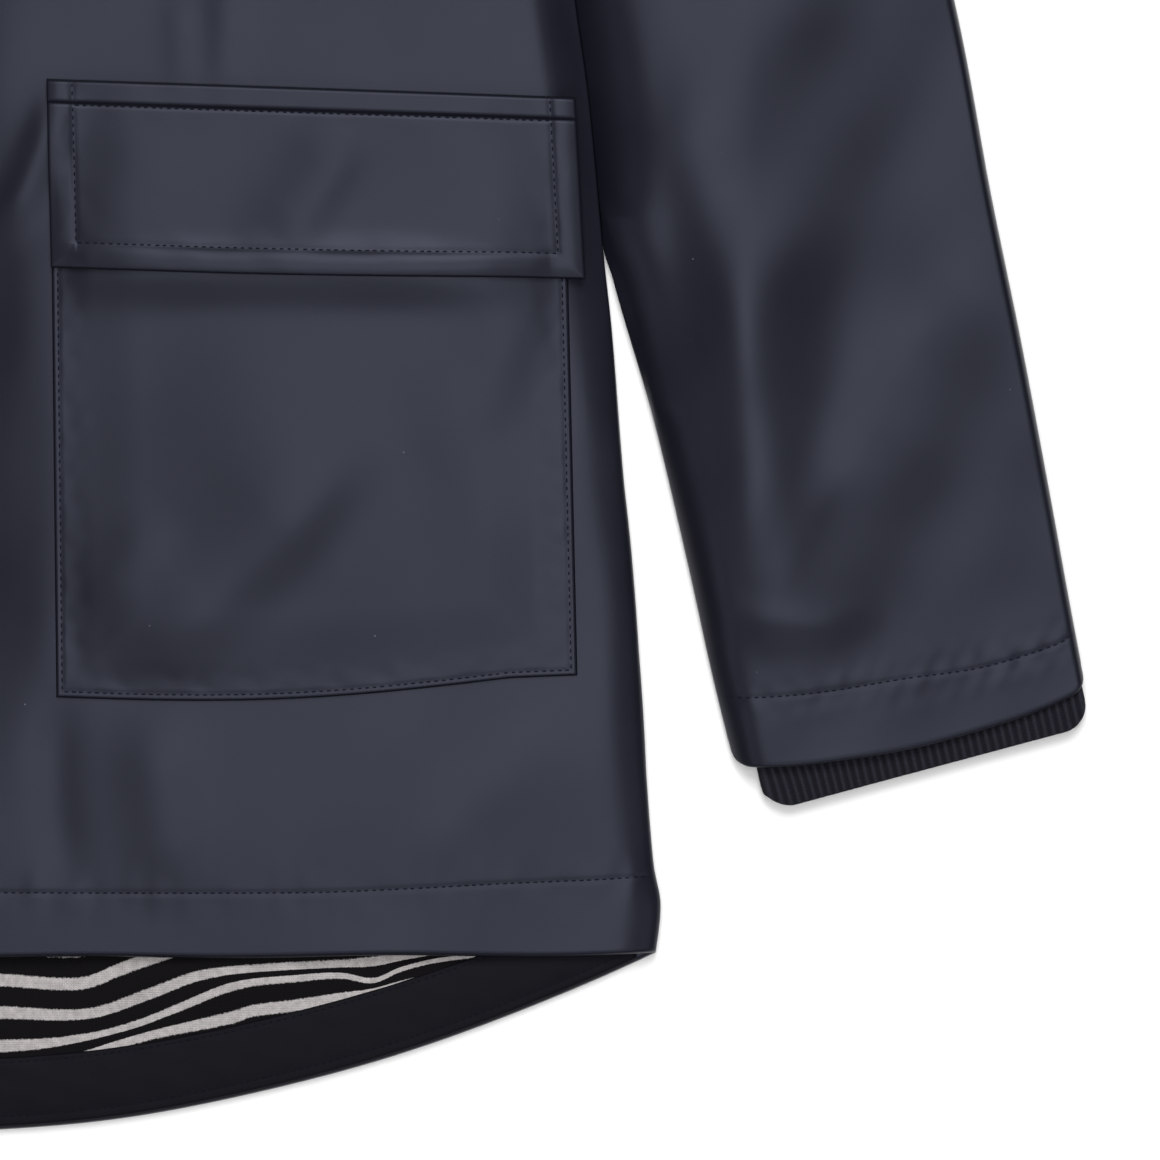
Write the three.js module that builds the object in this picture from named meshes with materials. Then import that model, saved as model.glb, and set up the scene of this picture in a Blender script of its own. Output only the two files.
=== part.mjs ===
// A child's lined raincoat, laid flat on its back with its front up.
// Millimetres. X runs across the coat, Y from the tail of the back to the collar, Z up from the floor.
import * as THREE from "three";

// The coat's outline, from the centre front to the wearer's left side
const coat = {
  hemY: -258,
  hemRise: 1.4,
  hemRisePower: 4,
  tailPower: 2,
  neckPower: 2.5,
  tailY: -311,
  armpitY: 112,
  shoulderX: 178,
  shoulderY: 245,
  neckHalf: 78,
  neckSideY: 283,
  frontNeckY: 226,
  backNeckY: 271,
  collarTopY: 312.3,
};

// Thicknesses and heights of the lying cloth
const cloth = {
  seamGap: 0.3,
  wall: 2.4,
  backWall: 3,
  frontTop: 8.6,
  edgeTop: 4.5,
  edgeRound: 9,
  mostHollow: 3.9,
  edgeWall: 1.1,
  backEdgeLift: 0.6,
  crown: 1.2,
  crownReach: 90,
  shoulderBlend: 24,
};

// Half the body's width from the hem to the shoulder point; the armhole starts at the armpit
const sideOutline = [
  { y: -258, half: 226.5 },
  { y: -242, half: 228 },
  { y: -230, half: 226 },
  { y: -198, half: 223.5 },
  { y: -150, half: 220.5 },
  { y: -114, half: 217 },
  { y: -70, half: 213.5 },
  { y: -47, half: 211 },
  { y: 0, half: 206.5 },
  { y: 29, half: 202.5 },
  { y: 70, half: 197.5 },
  { y: 112, half: 192 },
  { y: 150, half: 182 },
  { y: 190, half: 175 },
  { y: 225, half: 175 },
  { y: 245, half: 178 },
];

// The sleeve's two long edges, from the armhole to the sleeve's hem
const sleeveStations = [
  { innerX: 193, innerY: 112, outerX: 178.5, outerY: 245 },
  { innerX: 196.5, innerY: 88, outerX: 222, outerY: 224 },
  { innerX: 200, innerY: 58, outerX: 262, outerY: 182 },
  { innerX: 204, innerY: 25, outerX: 296, outerY: 112 },
  { innerX: 208.5, innerY: -10, outerX: 316.5, outerY: 30 },
  { innerX: 212, innerY: -46, outerX: 327.5, outerY: -28 },
  { innerX: 226, innerY: -96, outerX: 336.5, outerY: -72 },
  { innerX: 236, innerY: -138, outerX: 345, outerY: -117 },
  { innerX: 243.5, innerY: -172, outerX: 351, outerY: -150 },
  { innerX: 250, innerY: -198.7, outerX: 355.8, outerY: -175.3 },
];

const sleeve = {
  stations: 16,
  middle: 3,
  innerRound: 24,
  outerRound: 8,
  roundFrom: 0.45,
  roundTo: 0.75,
  underRound: 5,
  endWall: 2,
  hemBow: 7.5,
  bowPower: 0.6,
  bowReach: 60,
  bodyClearance: 0.7,
  capReach: 0.12,
  leastHollow: 0.3,
};

// The knitted cuff inside the sleeve's hem, measured along the hem and past it
const cuff = {
  ribs: 80,
  ribDepth: 0.4,
  wall: 1.2,
  low: 2.7,
  high: 6,
  start: 7,
  end: 104,
  inside: -22,
  edgeNear: 16.6,
  edgeFar: 12.2,
  corner: 8,
  innerEndInset: 1.6,
  endRound: 3,
  hemCross: 2,
};

// How a fold fades at its two ends, in shares of its length
const foldFade = { before: -0.25, full: 0.3, waning: 0.7, gone: 1.25 };

// The largest folds: a ridge, or a trough where the height is below nought
const leftFolds = [
  { fromX: 262, fromY: 20, toX: 259, toY: -150, width: 15, height: 1.9 },
  { fromX: 322, fromY: -75, toX: 270, toY: -158, width: 13, height: 1.7 },
  { fromX: 283, fromY: -20, toX: 279, toY: -110, width: 17, height: -1.3 },
  { fromX: 244, fromY: 40, toX: 262, toY: 150, width: 18, height: 1.6 },
  { fromX: 300, fromY: 40, toX: 246, toY: 190, width: 16, height: 1.2 },
  { fromX: 22, fromY: -20, toX: 40, toY: 60, width: 16, height: 1.5 },
  { fromX: 20, fromY: -90, toX: 26, toY: -200, width: 17, height: -1.3 },
  { fromX: 76, fromY: -190, toX: 82, toY: -236, width: 11, height: 1.2 },
  { fromX: 96, fromY: 20, toX: 104, toY: 100, width: 15, height: 1.3 },
  { fromX: 186, fromY: 70, toX: 120, toY: 150, width: 17, height: 1.6 },
  { fromX: 64, fromY: -166, toX: 136, toY: -96, width: 15, height: 1.4 },
];
const rightFolds = [
  { fromX: 268, fromY: 30, toX: 262, toY: -140, width: 16, height: 1.8 },
  { fromX: 318, fromY: -60, toX: 274, toY: -150, width: 13, height: 1.6 },
  { fromX: 288, fromY: -30, toX: 284, toY: -118, width: 17, height: -1.2 },
  { fromX: 248, fromY: 52, toX: 258, toY: 158, width: 18, height: 1.5 },
  { fromX: 304, fromY: 28, toX: 250, toY: 182, width: 16, height: 1.3 },
  { fromX: 24, fromY: -30, toX: 36, toY: 70, width: 16, height: 1.3 },
  { fromX: 18, fromY: -100, toX: 28, toY: -190, width: 18, height: -1.2 },
  { fromX: 118, fromY: -192, toX: 112, toY: -234, width: 12, height: 1.2 },
  { fromX: 88, fromY: 24, toX: 112, toY: 110, width: 16, height: 1.4 },
  { fromX: 182, fromY: 80, toX: 126, toY: 160, width: 17, height: 1.5 },
  { fromX: 70, fromY: -156, toX: 150, toY: -104, width: 15, height: 1.3 },
];

// A patch pocket and its flap on the wearer's left; the right ones are their mirror
const pocketCorners = {
  sag: -3.4,
  top: { innerX: 45.3, innerY: -14, outerX: 199.5, outerY: -18 },
  bottom: { innerX: 47.1, innerY: -179.8, outerX: 203.1, outerY: -173.2 },
};
const flapCorners = {
  sag: -0.8,
  top: { innerX: 44.4, innerY: 5.3, outerX: 202.5, outerY: -0.1 },
  bottom: { innerX: 45.6, innerY: -51, outerX: 205.5, outerY: -54.4 },
};
const sagReach = 1.15; // the lower edge hangs deepest a little nearer the centre
const pocket = { wall: 1.6, columns: 13, rows: 13 };
const flap = { wall: 2.2, columns: 13, rows: 6, lift: 2.2, ridge: 0.9, liftReach: 0.7 };

const placket = { half: 17.5, wall: 1.6, hemInset: 0.5, columns: 4, rows: 24 };
const studs = { count: 6, radius: 6.2, height: 1.9, firstY: -224, lastY: 206, sides: 16 };
// A stud's cap from its foot to its crown, in shares of its radius and height
const studProfile = [
  { out: 0, up: 0 },
  { out: 0.92, up: 0 },
  { out: 1, up: 0.26 },
  { out: 0.86, up: 0.8 },
  { out: 0.45, up: 1 },
  { out: 0, up: 1 },
];
const facing = { depth: 21, inset: 2, wall: 1.1, endX: 205, columns: 25, rows: 3 };
const lining = {
  wall: 1.1,
  tuck: 34,
  fromFacing: 1,
  least: 6,
  endX: 196,
  wave: 0.7,
  waveLength: 78,
  waveLean: 2,
  columns: 25,
  rows: 5,
};
const neckLining = { reach: 30, inset: 14, columns: 11, rows: 3 };
const neckGap = 1; // between a layer's top edge and the neck seam
const collar = {
  wall: 2,
  columns: 42,
  rows: 3,
  topHalf: 73,
  low: 4.6,
  high: 10.4,
  frontRise: 33,
  backRise: 33,
  opening: 0.006,
  seamGap: 1.2,
};

const tiny = 1e-6;
const nearSteps = 1.2; // how far round it a resting layer looks, in steps of its own grid

const clamp = THREE.MathUtils.clamp;
const mix = THREE.MathUtils.lerp;
const smooth = THREE.MathUtils.smoothstep;

// A smooth curve through a table's rows, read at one value of its key column
function readTable(rows, key, column, at) {
  const last = rows.length - 1;
  if (at <= rows[0][key]) return rows[0][column];
  if (at >= rows[last][key]) return rows[last][column];
  const i = rows.findIndex((row, n) => n < last && at <= rows[n + 1][key]);
  const [a, b] = [rows[i], rows[i + 1]];
  const step = b[key] - a[key];
  const slope = (n) => {
    const before = rows[Math.max(n - 1, 0)];
    const after = rows[Math.min(n + 1, last)];
    return ((after[column] - before[column]) / (after[key] - before[key])) * step;
  };
  const t = (at - a[key]) / step;
  const t2 = t * t;
  const t3 = t2 * t;
  return (
    (2 * t3 - 3 * t2 + 1) * a[column] +
    (t3 - 2 * t2 + t) * slope(i) +
    (3 * t2 - 2 * t3) * b[column] +
    (t3 - t2) * slope(i + 1)
  );
}

const sideHalf = (y) => readTable(sideOutline, "y", "half", y);

// A quarter circle's rise from 0 at an edge to 1 at a round's full width
function roundRise(distance, width) {
  const t = clamp(1 - distance / width, 0, 1);
  return Math.sqrt(1 - t * t);
}

function foldHeight(folds, x, y) {
  let height = 0;
  for (const fold of folds) {
    const alongX = fold.toX - fold.fromX;
    const alongY = fold.toY - fold.fromY;
    const length = Math.hypot(alongX, alongY);
    const t = ((x - fold.fromX) * alongX + (y - fold.fromY) * alongY) / (length * length);
    const off = ((x - fold.fromX) * alongY - (y - fold.fromY) * alongX) / length;
    const rise = smooth(t, foldFade.before, foldFade.full);
    const fade = rise * (1 - smooth(t, foldFade.waning, foldFade.gone));
    height += fold.height * fade * Math.exp(-((off / fold.width) ** 2));
  }
  return height;
}

// A closed body from its points and faces, turned so that its faces point out
function bodyFrom(points, faces) {
  let volume = 0;
  for (const [a, b, c] of faces) {
    volume += points[a].clone().cross(points[b]).dot(points[c]);
  }
  const turned = volume < 0 ? faces.map(([a, b, c]) => [a, c, b]) : faces;
  const geometry = new THREE.BufferGeometry().setFromPoints(points);
  geometry.setIndex(turned.flat());
  geometry.computeVertexNormals();
  return geometry;
}

function quad(faces, a, b, c, d) {
  faces.push([a, b, c], [a, c, d]);
}

// A cloth wall between two grids of points of the same size
function wallBody(topGrid, underGrid) {
  const rows = topGrid.length;
  const columns = topGrid[0].length;
  const points = [...topGrid.flat(), ...underGrid.flat()];
  const top = (j, i) => j * columns + i;
  const under = (j, i) => rows * columns + j * columns + i;
  const faces = [];
  for (let j = 0; j < rows - 1; j++) {
    for (let i = 0; i < columns - 1; i++) {
      quad(faces, top(j, i), top(j, i + 1), top(j + 1, i + 1), top(j + 1, i));
      quad(faces, under(j, i), under(j + 1, i), under(j + 1, i + 1), under(j, i + 1));
    }
  }
  for (let i = 0; i < columns - 1; i++) {
    quad(faces, under(0, i), under(0, i + 1), top(0, i + 1), top(0, i));
    quad(faces, top(rows - 1, i), top(rows - 1, i + 1), under(rows - 1, i + 1), under(rows - 1, i));
  }
  for (let j = 0; j < rows - 1; j++) {
    quad(faces, top(j, 0), top(j + 1, 0), under(j + 1, 0), under(j, 0));
    const end = columns - 1;
    quad(faces, under(j, end), under(j + 1, end), top(j + 1, end), top(j, end));
  }
  return bodyFrom(points, faces);
}

// An open tube of cloth from its outer rings and its inner rings
function tubeBody(outerRings, innerRings) {
  const around = outerRings[0].length;
  const rings = [...outerRings, ...innerRings.slice().reverse()];
  const points = rings.flat();
  const faces = [];
  for (let j = 0; j < rings.length; j++) {
    const next = (j + 1) % rings.length;
    for (let k = 0; k < around; k++) {
      const after = (k + 1) % around;
      quad(faces, j * around + k, j * around + after, next * around + after, next * around + k);
    }
  }
  return bodyFrom(points, faces);
}

// The height of a grid's own flat faces above a place, or nothing where the grid doesn't reach
function heightOfGrid(grid, x, y) {
  let height = -Infinity;
  for (let j = 0; j < grid.length - 1; j++) {
    for (let i = 0; i < grid[0].length - 1; i++) {
      const [a, b, c, d] = [grid[j][i], grid[j][i + 1], grid[j + 1][i + 1], grid[j + 1][i]];
      for (const [p, q, r] of [[a, b, c], [a, c, d]]) {
        const area = (q.x - p.x) * (r.y - p.y) - (r.x - p.x) * (q.y - p.y);
        if (Math.abs(area) < tiny) continue;
        const s = ((q.x - x) * (r.y - y) - (r.x - x) * (q.y - y)) / area;
        const t = ((r.x - x) * (p.y - y) - (p.x - x) * (r.y - y)) / area;
        if (s < -tiny || t < -tiny || s + t > 1 + tiny) continue;
        height = Math.max(height, s * p.z + t * q.z + (1 - s - t) * r.z);
      }
    }
  }
  return height;
}

const nearOffsets = [-1, -0.5, 0, 0.5, 1].map((share) => share * nearSteps);

// Where a layer rests: the highest point near by on the grids below it
function restHeight(grids, x, y, reachX, reachY) {
  let height = -Infinity;
  for (const grid of grids) {
    for (const point of grid.flat()) {
      const isNear = Math.abs(point.x - x) < nearSteps * reachX && Math.abs(point.y - y) < nearSteps * reachY;
      if (isNear) height = Math.max(height, point.z);
    }
    for (const stepX of nearOffsets) {
      for (const stepY of nearOffsets) {
        height = Math.max(height, heightOfGrid(grid, x + stepX * reachX, y + stepY * reachY));
      }
    }
  }
  return height;
}

const gridOf = (rows, columns, pointAt) =>
  Array.from({ length: rows }, (unused, j) =>
    Array.from({ length: columns }, (none, i) => pointAt(i / (columns - 1), j / (rows - 1))),
  );

const lifted = (grid, height) =>
  grid.map((row) => row.map((point) => new THREE.Vector3(point.x, point.y, point.z + height)));

// Front and back panels

const hemY = (u) => coat.hemY + coat.hemRise * u ** coat.hemRisePower;

function tailY(u) {
  return mix(coat.tailY, hemY(1), u ** coat.tailPower);
}

function shoulderLineY(x) {
  const t = (x - coat.neckHalf) / (coat.shoulderX - coat.neckHalf);
  return mix(coat.neckSideY, coat.shoulderY, t);
}

function neckLineY(x, centreY) {
  const t = 1 - (x / coat.neckHalf) ** coat.neckPower;
  return mix(coat.neckSideY, centreY, t);
}

function topEdgeY(u, centreNeckY) {
  const x = u * coat.shoulderX;
  return x < coat.neckHalf ? neckLineY(x, centreNeckY) : shoulderLineY(x);
}

// A place on a half panel: u from the centre to the side, v from the hem to the shoulder
function panelPlace(u, v, bottomEdge, centreNeckY) {
  const bottom = bottomEdge(u);
  const y = mix(bottom, topEdgeY(u, centreNeckY), v);
  const sideY = mix(hemY(1), coat.shoulderY, v);
  return { x: u * sideHalf(sideY), y };
}

function armholeRise(y) {
  const fromArmpit = y - coat.armpitY;
  const fromShoulder = coat.shoulderY - y;
  if (fromArmpit <= 0) return 0;
  return Math.min(roundRise(fromArmpit, sleeve.innerRound), roundRise(fromShoulder, sleeve.outerRound));
}

function frontHeight(x, y, folds) {
  const fromSide = sideHalf(y) - x;
  const shoulder = smooth(x, coat.neckHalf - cloth.shoulderBlend, coat.neckHalf);
  const fromShoulder = shoulderLineY(x) - y;
  const sideRise = Math.max(roundRise(fromSide, cloth.edgeRound), armholeRise(y));
  const topRise = mix(1, roundRise(fromShoulder, cloth.edgeRound), shoulder);
  const crown = cloth.crown * smooth(fromSide, 0, cloth.crownReach);
  const full = cloth.frontTop + crown + foldHeight(folds, x, y);
  return mix(cloth.edgeTop, full, Math.min(sideRise, topRise));
}

// Where the panels' points lie from the centre to the side, in shares of the half width
const neckColumn = coat.neckHalf / coat.shoulderX;
const frontColumns = [
  0, 0.08, 0.16, 0.24, 0.32, 0.38, neckColumn, 0.5, 0.57, 0.64, 0.71, 0.78, 0.85, 0.91, 0.95, 0.975, 0.99, 1,
];
const frontRows = 25;

function frontGrids(side, folds) {
  const topGrid = [];
  const underGrid = [];
  for (let j = 0; j < frontRows; j++) {
    const v = j / (frontRows - 1);
    const topRow = [];
    const underRow = [];
    for (const u of frontColumns) {
      const place = panelPlace(u, v, hemY, coat.frontNeckY);
      const x = place.x + (u === 0 ? cloth.seamGap : 0);
      const z = frontHeight(place.x, place.y, folds);
      const lowest = cloth.backWall + cloth.seamGap;
      const under = clamp(z - cloth.wall, lowest, cloth.backWall + cloth.mostHollow);
      topRow.push(new THREE.Vector3(side * x, place.y, z));
      underRow.push(new THREE.Vector3(side * x, place.y, Math.min(under, z - cloth.edgeWall)));
    }
    topGrid.push(topRow);
    underGrid.push(underRow);
  }
  return { topGrid, underGrid };
}

const backRows = 19;
const backColumns = [-1, -0.985, -0.93, -0.8, -0.66, -0.55, -neckColumn, -0.3, -0.15, 0];

function backGrids() {
  const columns = [...backColumns, ...backColumns.slice(0, -1).reverse().map((u) => -u)];
  const grid = (height) =>
    Array.from({ length: backRows }, (unused, j) =>
      columns.map((u) => {
        const place = panelPlace(Math.abs(u), j / (backRows - 1), tailY, coat.backNeckY);
        return new THREE.Vector3(Math.sign(u) * place.x, place.y, height(Math.abs(u)));
      }),
    );
  const edgeLift = (u) => (u === 1 ? cloth.backEdgeLift : 0);
  return { topGrid: grid(() => cloth.backWall), underGrid: grid(edgeLift) };
}

// Sleeves

function sleeveStation(t) {
  const rows = sleeveStations.map((row, n) => ({ ...row, n: n / (sleeveStations.length - 1) }));
  const at = (column) => readTable(rows, "n", column, t);
  const station = {
    inner: new THREE.Vector2(at("innerX"), at("innerY")),
    outer: new THREE.Vector2(at("outerX"), at("outerY")),
  };
  station.inner.x = Math.max(station.inner.x, sideHalf(station.inner.y) + sleeve.bodyClearance);
  return station;
}

// How far the armhole bows into the sleeve's cap, which follows the body's armhole
function capBow(t, s, station) {
  const y = mix(station.inner.y, station.outer.y, s);
  const straight = mix(station.inner.x, station.outer.x, s);
  const wanted = sideHalf(y) + sleeve.bodyClearance;
  return (wanted - straight) * (1 - smooth(t, 0, sleeve.capReach));
}

function sleevePlace(t, s) {
  const station = sleeveStation(t);
  const place = station.inner.clone().lerp(station.outer, s);
  place.x += capBow(t, s, station);
  const last = sleeveStation(1);
  const along = last.outer.clone().sub(last.inner).normalize();
  const past = new THREE.Vector2(along.y, -along.x);
  const fromHem = place.clone().sub(last.inner).dot(past);
  const bow = sleeve.hemBow * Math.sin(Math.PI * s) ** sleeve.bowPower;
  return place.addScaledVector(past, bow * smooth(fromHem, -sleeve.bowReach, 0));
}

function sleeveTop(t, s, width, x, y, folds) {
  const share = smooth(t, sleeve.roundFrom, sleeve.roundTo);
  const innerRound = mix(sleeve.innerRound, sleeve.outerRound, share);
  const innerRise = roundRise(s * width, innerRound);
  const rise = Math.min(innerRise, roundRise((1 - s) * width, sleeve.outerRound));
  return mix(sleeve.middle, cloth.frontTop + foldHeight(folds, x, y), rise);
}

// Where the sleeve's points lie across its top and its underside, in shares of its width
const sleeveAcross = [
  0, 0.012, 0.035, 0.07, 0.12, 0.2, 0.29, 0.39, 0.5, 0.6, 0.7, 0.79, 0.87, 0.93, 0.97, 0.99, 1,
];
const sleeveUnder = [0.97, 0.88, 0.7, 0.5, 0.3, 0.12, 0.03];

function sleeveRing(t, side, folds) {
  const station = sleeveStation(t);
  const width = station.inner.distanceTo(station.outer);
  const endShare = sleeve.endWall / width;
  const inside = (s) => mix(endShare, 1 - endShare, s);
  const outer = [];
  const inner = [];
  const topAt = (s) => {
    const place = sleevePlace(t, s);
    return sleeveTop(t, s, width, place.x, place.y, folds);
  };
  const add = (list, s, z) => {
    const place = sleevePlace(t, s);
    list.push(new THREE.Vector3(side * place.x, place.y, z));
  };
  const floorInside = cloth.wall;
  for (const s of sleeveAcross) {
    const isEnd = s === 0 || s === 1;
    add(outer, s, topAt(s));
    const under = Math.min(topAt(inside(s)) - cloth.wall, floorInside + cloth.mostHollow);
    add(inner, inside(s), isEnd ? sleeve.middle : Math.max(under, sleeve.middle + sleeve.leastHollow));
  }
  for (const s of sleeveUnder) {
    const fromEdge = Math.min(s, 1 - s) * width;
    const rise = roundRise(fromEdge, sleeve.underRound);
    add(outer, s, sleeve.middle * (1 - rise));
    add(inner, inside(s), floorInside);
  }
  return { outer, inner };
}

function sleeveRings(side, folds) {
  const outer = [];
  const inner = [];
  for (let j = 0; j < sleeve.stations; j++) {
    const ring = sleeveRing(j / (sleeve.stations - 1), side, folds);
    outer.push(ring.outer);
    inner.push(ring.inner);
  }
  return { outer, inner };
}

// Knitted cuffs: ribs run round the outside, over a plain inside

function cuffEdge(across) {
  const share = (across - cuff.start) / (cuff.end - cuff.start);
  const fromEnd = Math.min(across - cuff.start, cuff.end - across);
  const drop = cuff.corner * (1 - roundRise(fromEnd, cuff.corner));
  return mix(cuff.edgeNear, cuff.edgeFar, share) - drop;
}

function cuffRings(side) {
  const last = sleeveStation(1);
  const along = last.outer.clone().sub(last.inner).normalize();
  const past = new THREE.Vector2(along.y, -along.x);
  const around = cuff.ribs * 2;
  const half = around / 2;
  const mid = (cuff.low + cuff.high) / 2;
  const ring = (pastHem, inset, isRibbed) =>
    Array.from({ length: around }, (unused, k) => {
      const isTop = k <= half;
      const share = isTop ? k / half : (around - k) / half;
      const across = mix(cuff.start + inset, cuff.end - inset, share);
      const fromEnd = Math.min(share, 1 - share) * (cuff.end - cuff.start - 2 * inset);
      const rise = roundRise(fromEnd, cuff.endRound);
      const rib = isRibbed && k % 2 === 1 ? cuff.ribDepth * rise : 0;
      const depth = isRibbed ? mid - cuff.low : mid - cuff.low - cuff.wall;
      const z = mid + (isTop ? 1 : -1) * (depth * rise - rib);
      const reach = Math.min(pastHem, cuffEdge(clamp(across, cuff.start, cuff.end)));
      const place = last.inner.clone().addScaledVector(along, across).addScaledVector(past, reach);
      return new THREE.Vector3(side * place.x, place.y, z);
    });
  const farPast = cuff.edgeNear + cuff.corner;
  return {
    outer: [ring(cuff.inside, 0, true), ring(cuff.hemCross, 0, true), ring(farPast, 0, true)],
    inner: [ring(cuff.inside, cuff.innerEndInset, false), ring(farPast, cuff.innerEndInset, false)],
  };
}

// Patch pockets, flaps and the placket, each laid on the grids below it

function patchPlace(corners, s, t) {
  const alongEdge = (edge) =>
    new THREE.Vector2(mix(edge.innerX, edge.outerX, s), mix(edge.innerY, edge.outerY, s));
  const bottom = alongEdge(corners.bottom);
  bottom.y += corners.sag * Math.sin(Math.PI * Math.min(s * sagReach, 1));
  return bottom.lerp(alongEdge(corners.top), t);
}

function layOn(grids, size, placeAt, side, wall, extraAt = () => 0) {
  const first = placeAt(0, 0);
  const second = placeAt(1 / (size.columns - 1), 1 / (size.rows - 1));
  const reachX = Math.abs(second.x - first.x);
  const reachY = Math.abs(second.y - first.y);
  const under = gridOf(size.rows, size.columns, (s, t) => {
    const place = placeAt(s, t);
    const x = side * place.x;
    const z = restHeight(grids, x, place.y, reachX, reachY) + cloth.seamGap + extraAt(s, t);
    return new THREE.Vector3(x, place.y, z);
  });
  return { under, top: lifted(under, wall) };
}

function pocketGrids(side, frontGrid) {
  const place = (s, t) => patchPlace(pocketCorners, s, t);
  return layOn([frontGrid], pocket, place, side, pocket.wall);
}

function flapGrids(side, grids) {
  const hang = (s, t) => flap.lift * Math.sin(Math.PI * s) * (1 - smooth(t, 0, flap.liftReach));
  const place = (s, t) => patchPlace(flapCorners, s, t);
  const made = layOn(grids, flap, place, side, flap.wall, hang);
  made.top.at(-1).forEach((point) => {
    point.z += flap.ridge;
  });
  return made;
}

function placketGrids(grids) {
  const place = (s, t) => {
    const x = mix(-placket.half, placket.half, s);
    const topY = neckLineY(Math.abs(x), coat.frontNeckY) - neckGap;
    return new THREE.Vector2(x, mix(coat.hemY + placket.hemInset, topY, t));
  };
  return layOn(grids, placket, place, 1, placket.wall);
}

function studBody(grid, y) {
  const profile = studProfile.map((row) => new THREE.Vector2(row.out * studs.radius, row.up * studs.height));
  const geometry = new THREE.LatheGeometry(profile, studs.sides).rotateX(Math.PI / 2);
  const rest = restHeight([grid], 0, y, studs.radius, studs.radius);
  return geometry.translate(0, y, rest + cloth.seamGap);
}

// The band turned up inside the back's hem, and the striped lining above it

function facingGrids() {
  const under = gridOf(facing.rows, facing.columns, (s, t) => {
    const x = mix(-facing.endX, facing.endX, s);
    const edge = tailY(Math.abs(x) / sideHalf(coat.hemY)) + facing.inset;
    const z = cloth.backWall + cloth.seamGap;
    return new THREE.Vector3(x, edge + t * (facing.depth - facing.inset), z);
  });
  return { under, top: lifted(under, facing.wall) };
}

function liningGrids() {
  const under = gridOf(lining.rows, lining.columns, (s, t) => {
    const x = mix(-lining.endX, lining.endX, s);
    const low = tailY(Math.abs(x) / sideHalf(coat.hemY)) + facing.depth + lining.fromFacing;
    const high = Math.max(coat.hemY + lining.tuck, low + lining.least);
    const turn = (x / lining.waveLength) * 2 * Math.PI + lining.waveLean * t;
    const wave = lining.wave * (1 + Math.sin(turn));
    const z = cloth.backWall + cloth.seamGap + wave * Math.sin(Math.PI * t);
    return new THREE.Vector3(x, mix(low, high, t), z);
  });
  return { under, top: lifted(under, lining.wall) };
}

function neckLiningGrids() {
  const half = coat.neckHalf - neckLining.inset;
  const under = gridOf(neckLining.rows, neckLining.columns, (s, t) => {
    const x = mix(-half, half, s);
    const high = neckLineY(Math.abs(x), coat.backNeckY) - neckGap;
    return new THREE.Vector3(x, mix(high - neckLining.reach, high, t), cloth.backWall + cloth.seamGap);
  });
  return { under, top: lifted(under, lining.wall) };
}

// A stand collar, open at the centre front: its back lies low and its front lies over it

function collarGrids() {
  const sideRise = coat.collarTopY - coat.neckSideY;
  const middle = (collar.low + collar.high) / 2;
  const swing = (collar.high - collar.low) / 2;
  const surface = (s, t, outward) => {
    const angle = mix(collar.opening, 2 * Math.PI - collar.opening, s);
    const forward = Math.cos(angle);
    const x = mix(coat.neckHalf - neckGap, collar.topHalf, t) * Math.sin(angle);
    const centreY = forward > 0 ? coat.frontNeckY : coat.backNeckY;
    const centreRise = forward > 0 ? collar.frontRise : collar.backRise;
    const seamY = neckLineY(Math.abs(x), centreY + collar.seamGap);
    const y = seamY + t * mix(sideRise, centreRise, Math.abs(forward));
    const z = middle + swing * forward + (outward ? 1 : -1) * forward * (collar.wall / 2);
    return new THREE.Vector3(x, y, z);
  };
  return {
    top: gridOf(collar.rows, collar.columns, (s, t) => surface(s, t, true)),
    under: gridOf(collar.rows, collar.columns, (s, t) => surface(s, t, false)),
  };
}

// Materials and the finished coat

const finish = (color, roughness) => new THREE.MeshStandardMaterial({ color, roughness, metalness: 0 });
const materials = {
  coated: finish(0x2c303e, 0.45),
  striped: finish(0x6f6a6c, 0.9),
  knit: finish(0x262833, 0.95),
  stud: finish(0x2a2e3a, 0.35),
};

const raincoat = new THREE.Group();

function addPiece(name, geometry, material) {
  const mesh = new THREE.Mesh(geometry, material);
  mesh.name = name;
  raincoat.add(mesh);
}

const back = backGrids();
addPiece("back", wallBody(back.topGrid, back.underGrid), materials.coated);

const frontTops = [];
for (const [name, side, folds] of [["left", 1, leftFolds], ["right", -1, rightFolds]]) {
  const front = frontGrids(side, folds);
  frontTops.push(front.topGrid);
  addPiece("front_" + name, wallBody(front.topGrid, front.underGrid), materials.coated);

  const tube = sleeveRings(side, folds);
  addPiece("sleeve_" + name, tubeBody(tube.outer, tube.inner), materials.coated);

  const knit = cuffRings(side);
  addPiece("cuff_" + name, tubeBody(knit.outer, knit.inner), materials.knit);

  const patch = pocketGrids(side, front.topGrid);
  addPiece("pocket_" + name, wallBody(patch.top, patch.under), materials.coated);

  const cover = flapGrids(side, [front.topGrid, patch.top]);
  addPiece("pocket_flap_" + name, wallBody(cover.top, cover.under), materials.coated);
}

const strip = placketGrids(frontTops);
addPiece("placket", wallBody(strip.top, strip.under), materials.coated);
for (let n = 0; n < studs.count; n++) {
  const y = mix(studs.firstY, studs.lastY, n / (studs.count - 1));
  addPiece("press_stud_" + (n + 1), studBody(strip.top, y), materials.stud);
}

const band = facingGrids();
addPiece("back_hem_facing", wallBody(band.top, band.under), materials.coated);
const tailLining = liningGrids();
addPiece("lining_tail", wallBody(tailLining.top, tailLining.under), materials.striped);
const neckLayer = neckLiningGrids();
addPiece("lining_neck", wallBody(neckLayer.top, neckLayer.under), materials.striped);
const stand = collarGrids();
addPiece("collar", wallBody(stand.top, stand.under), materials.coated);

export default raincoat;
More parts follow.
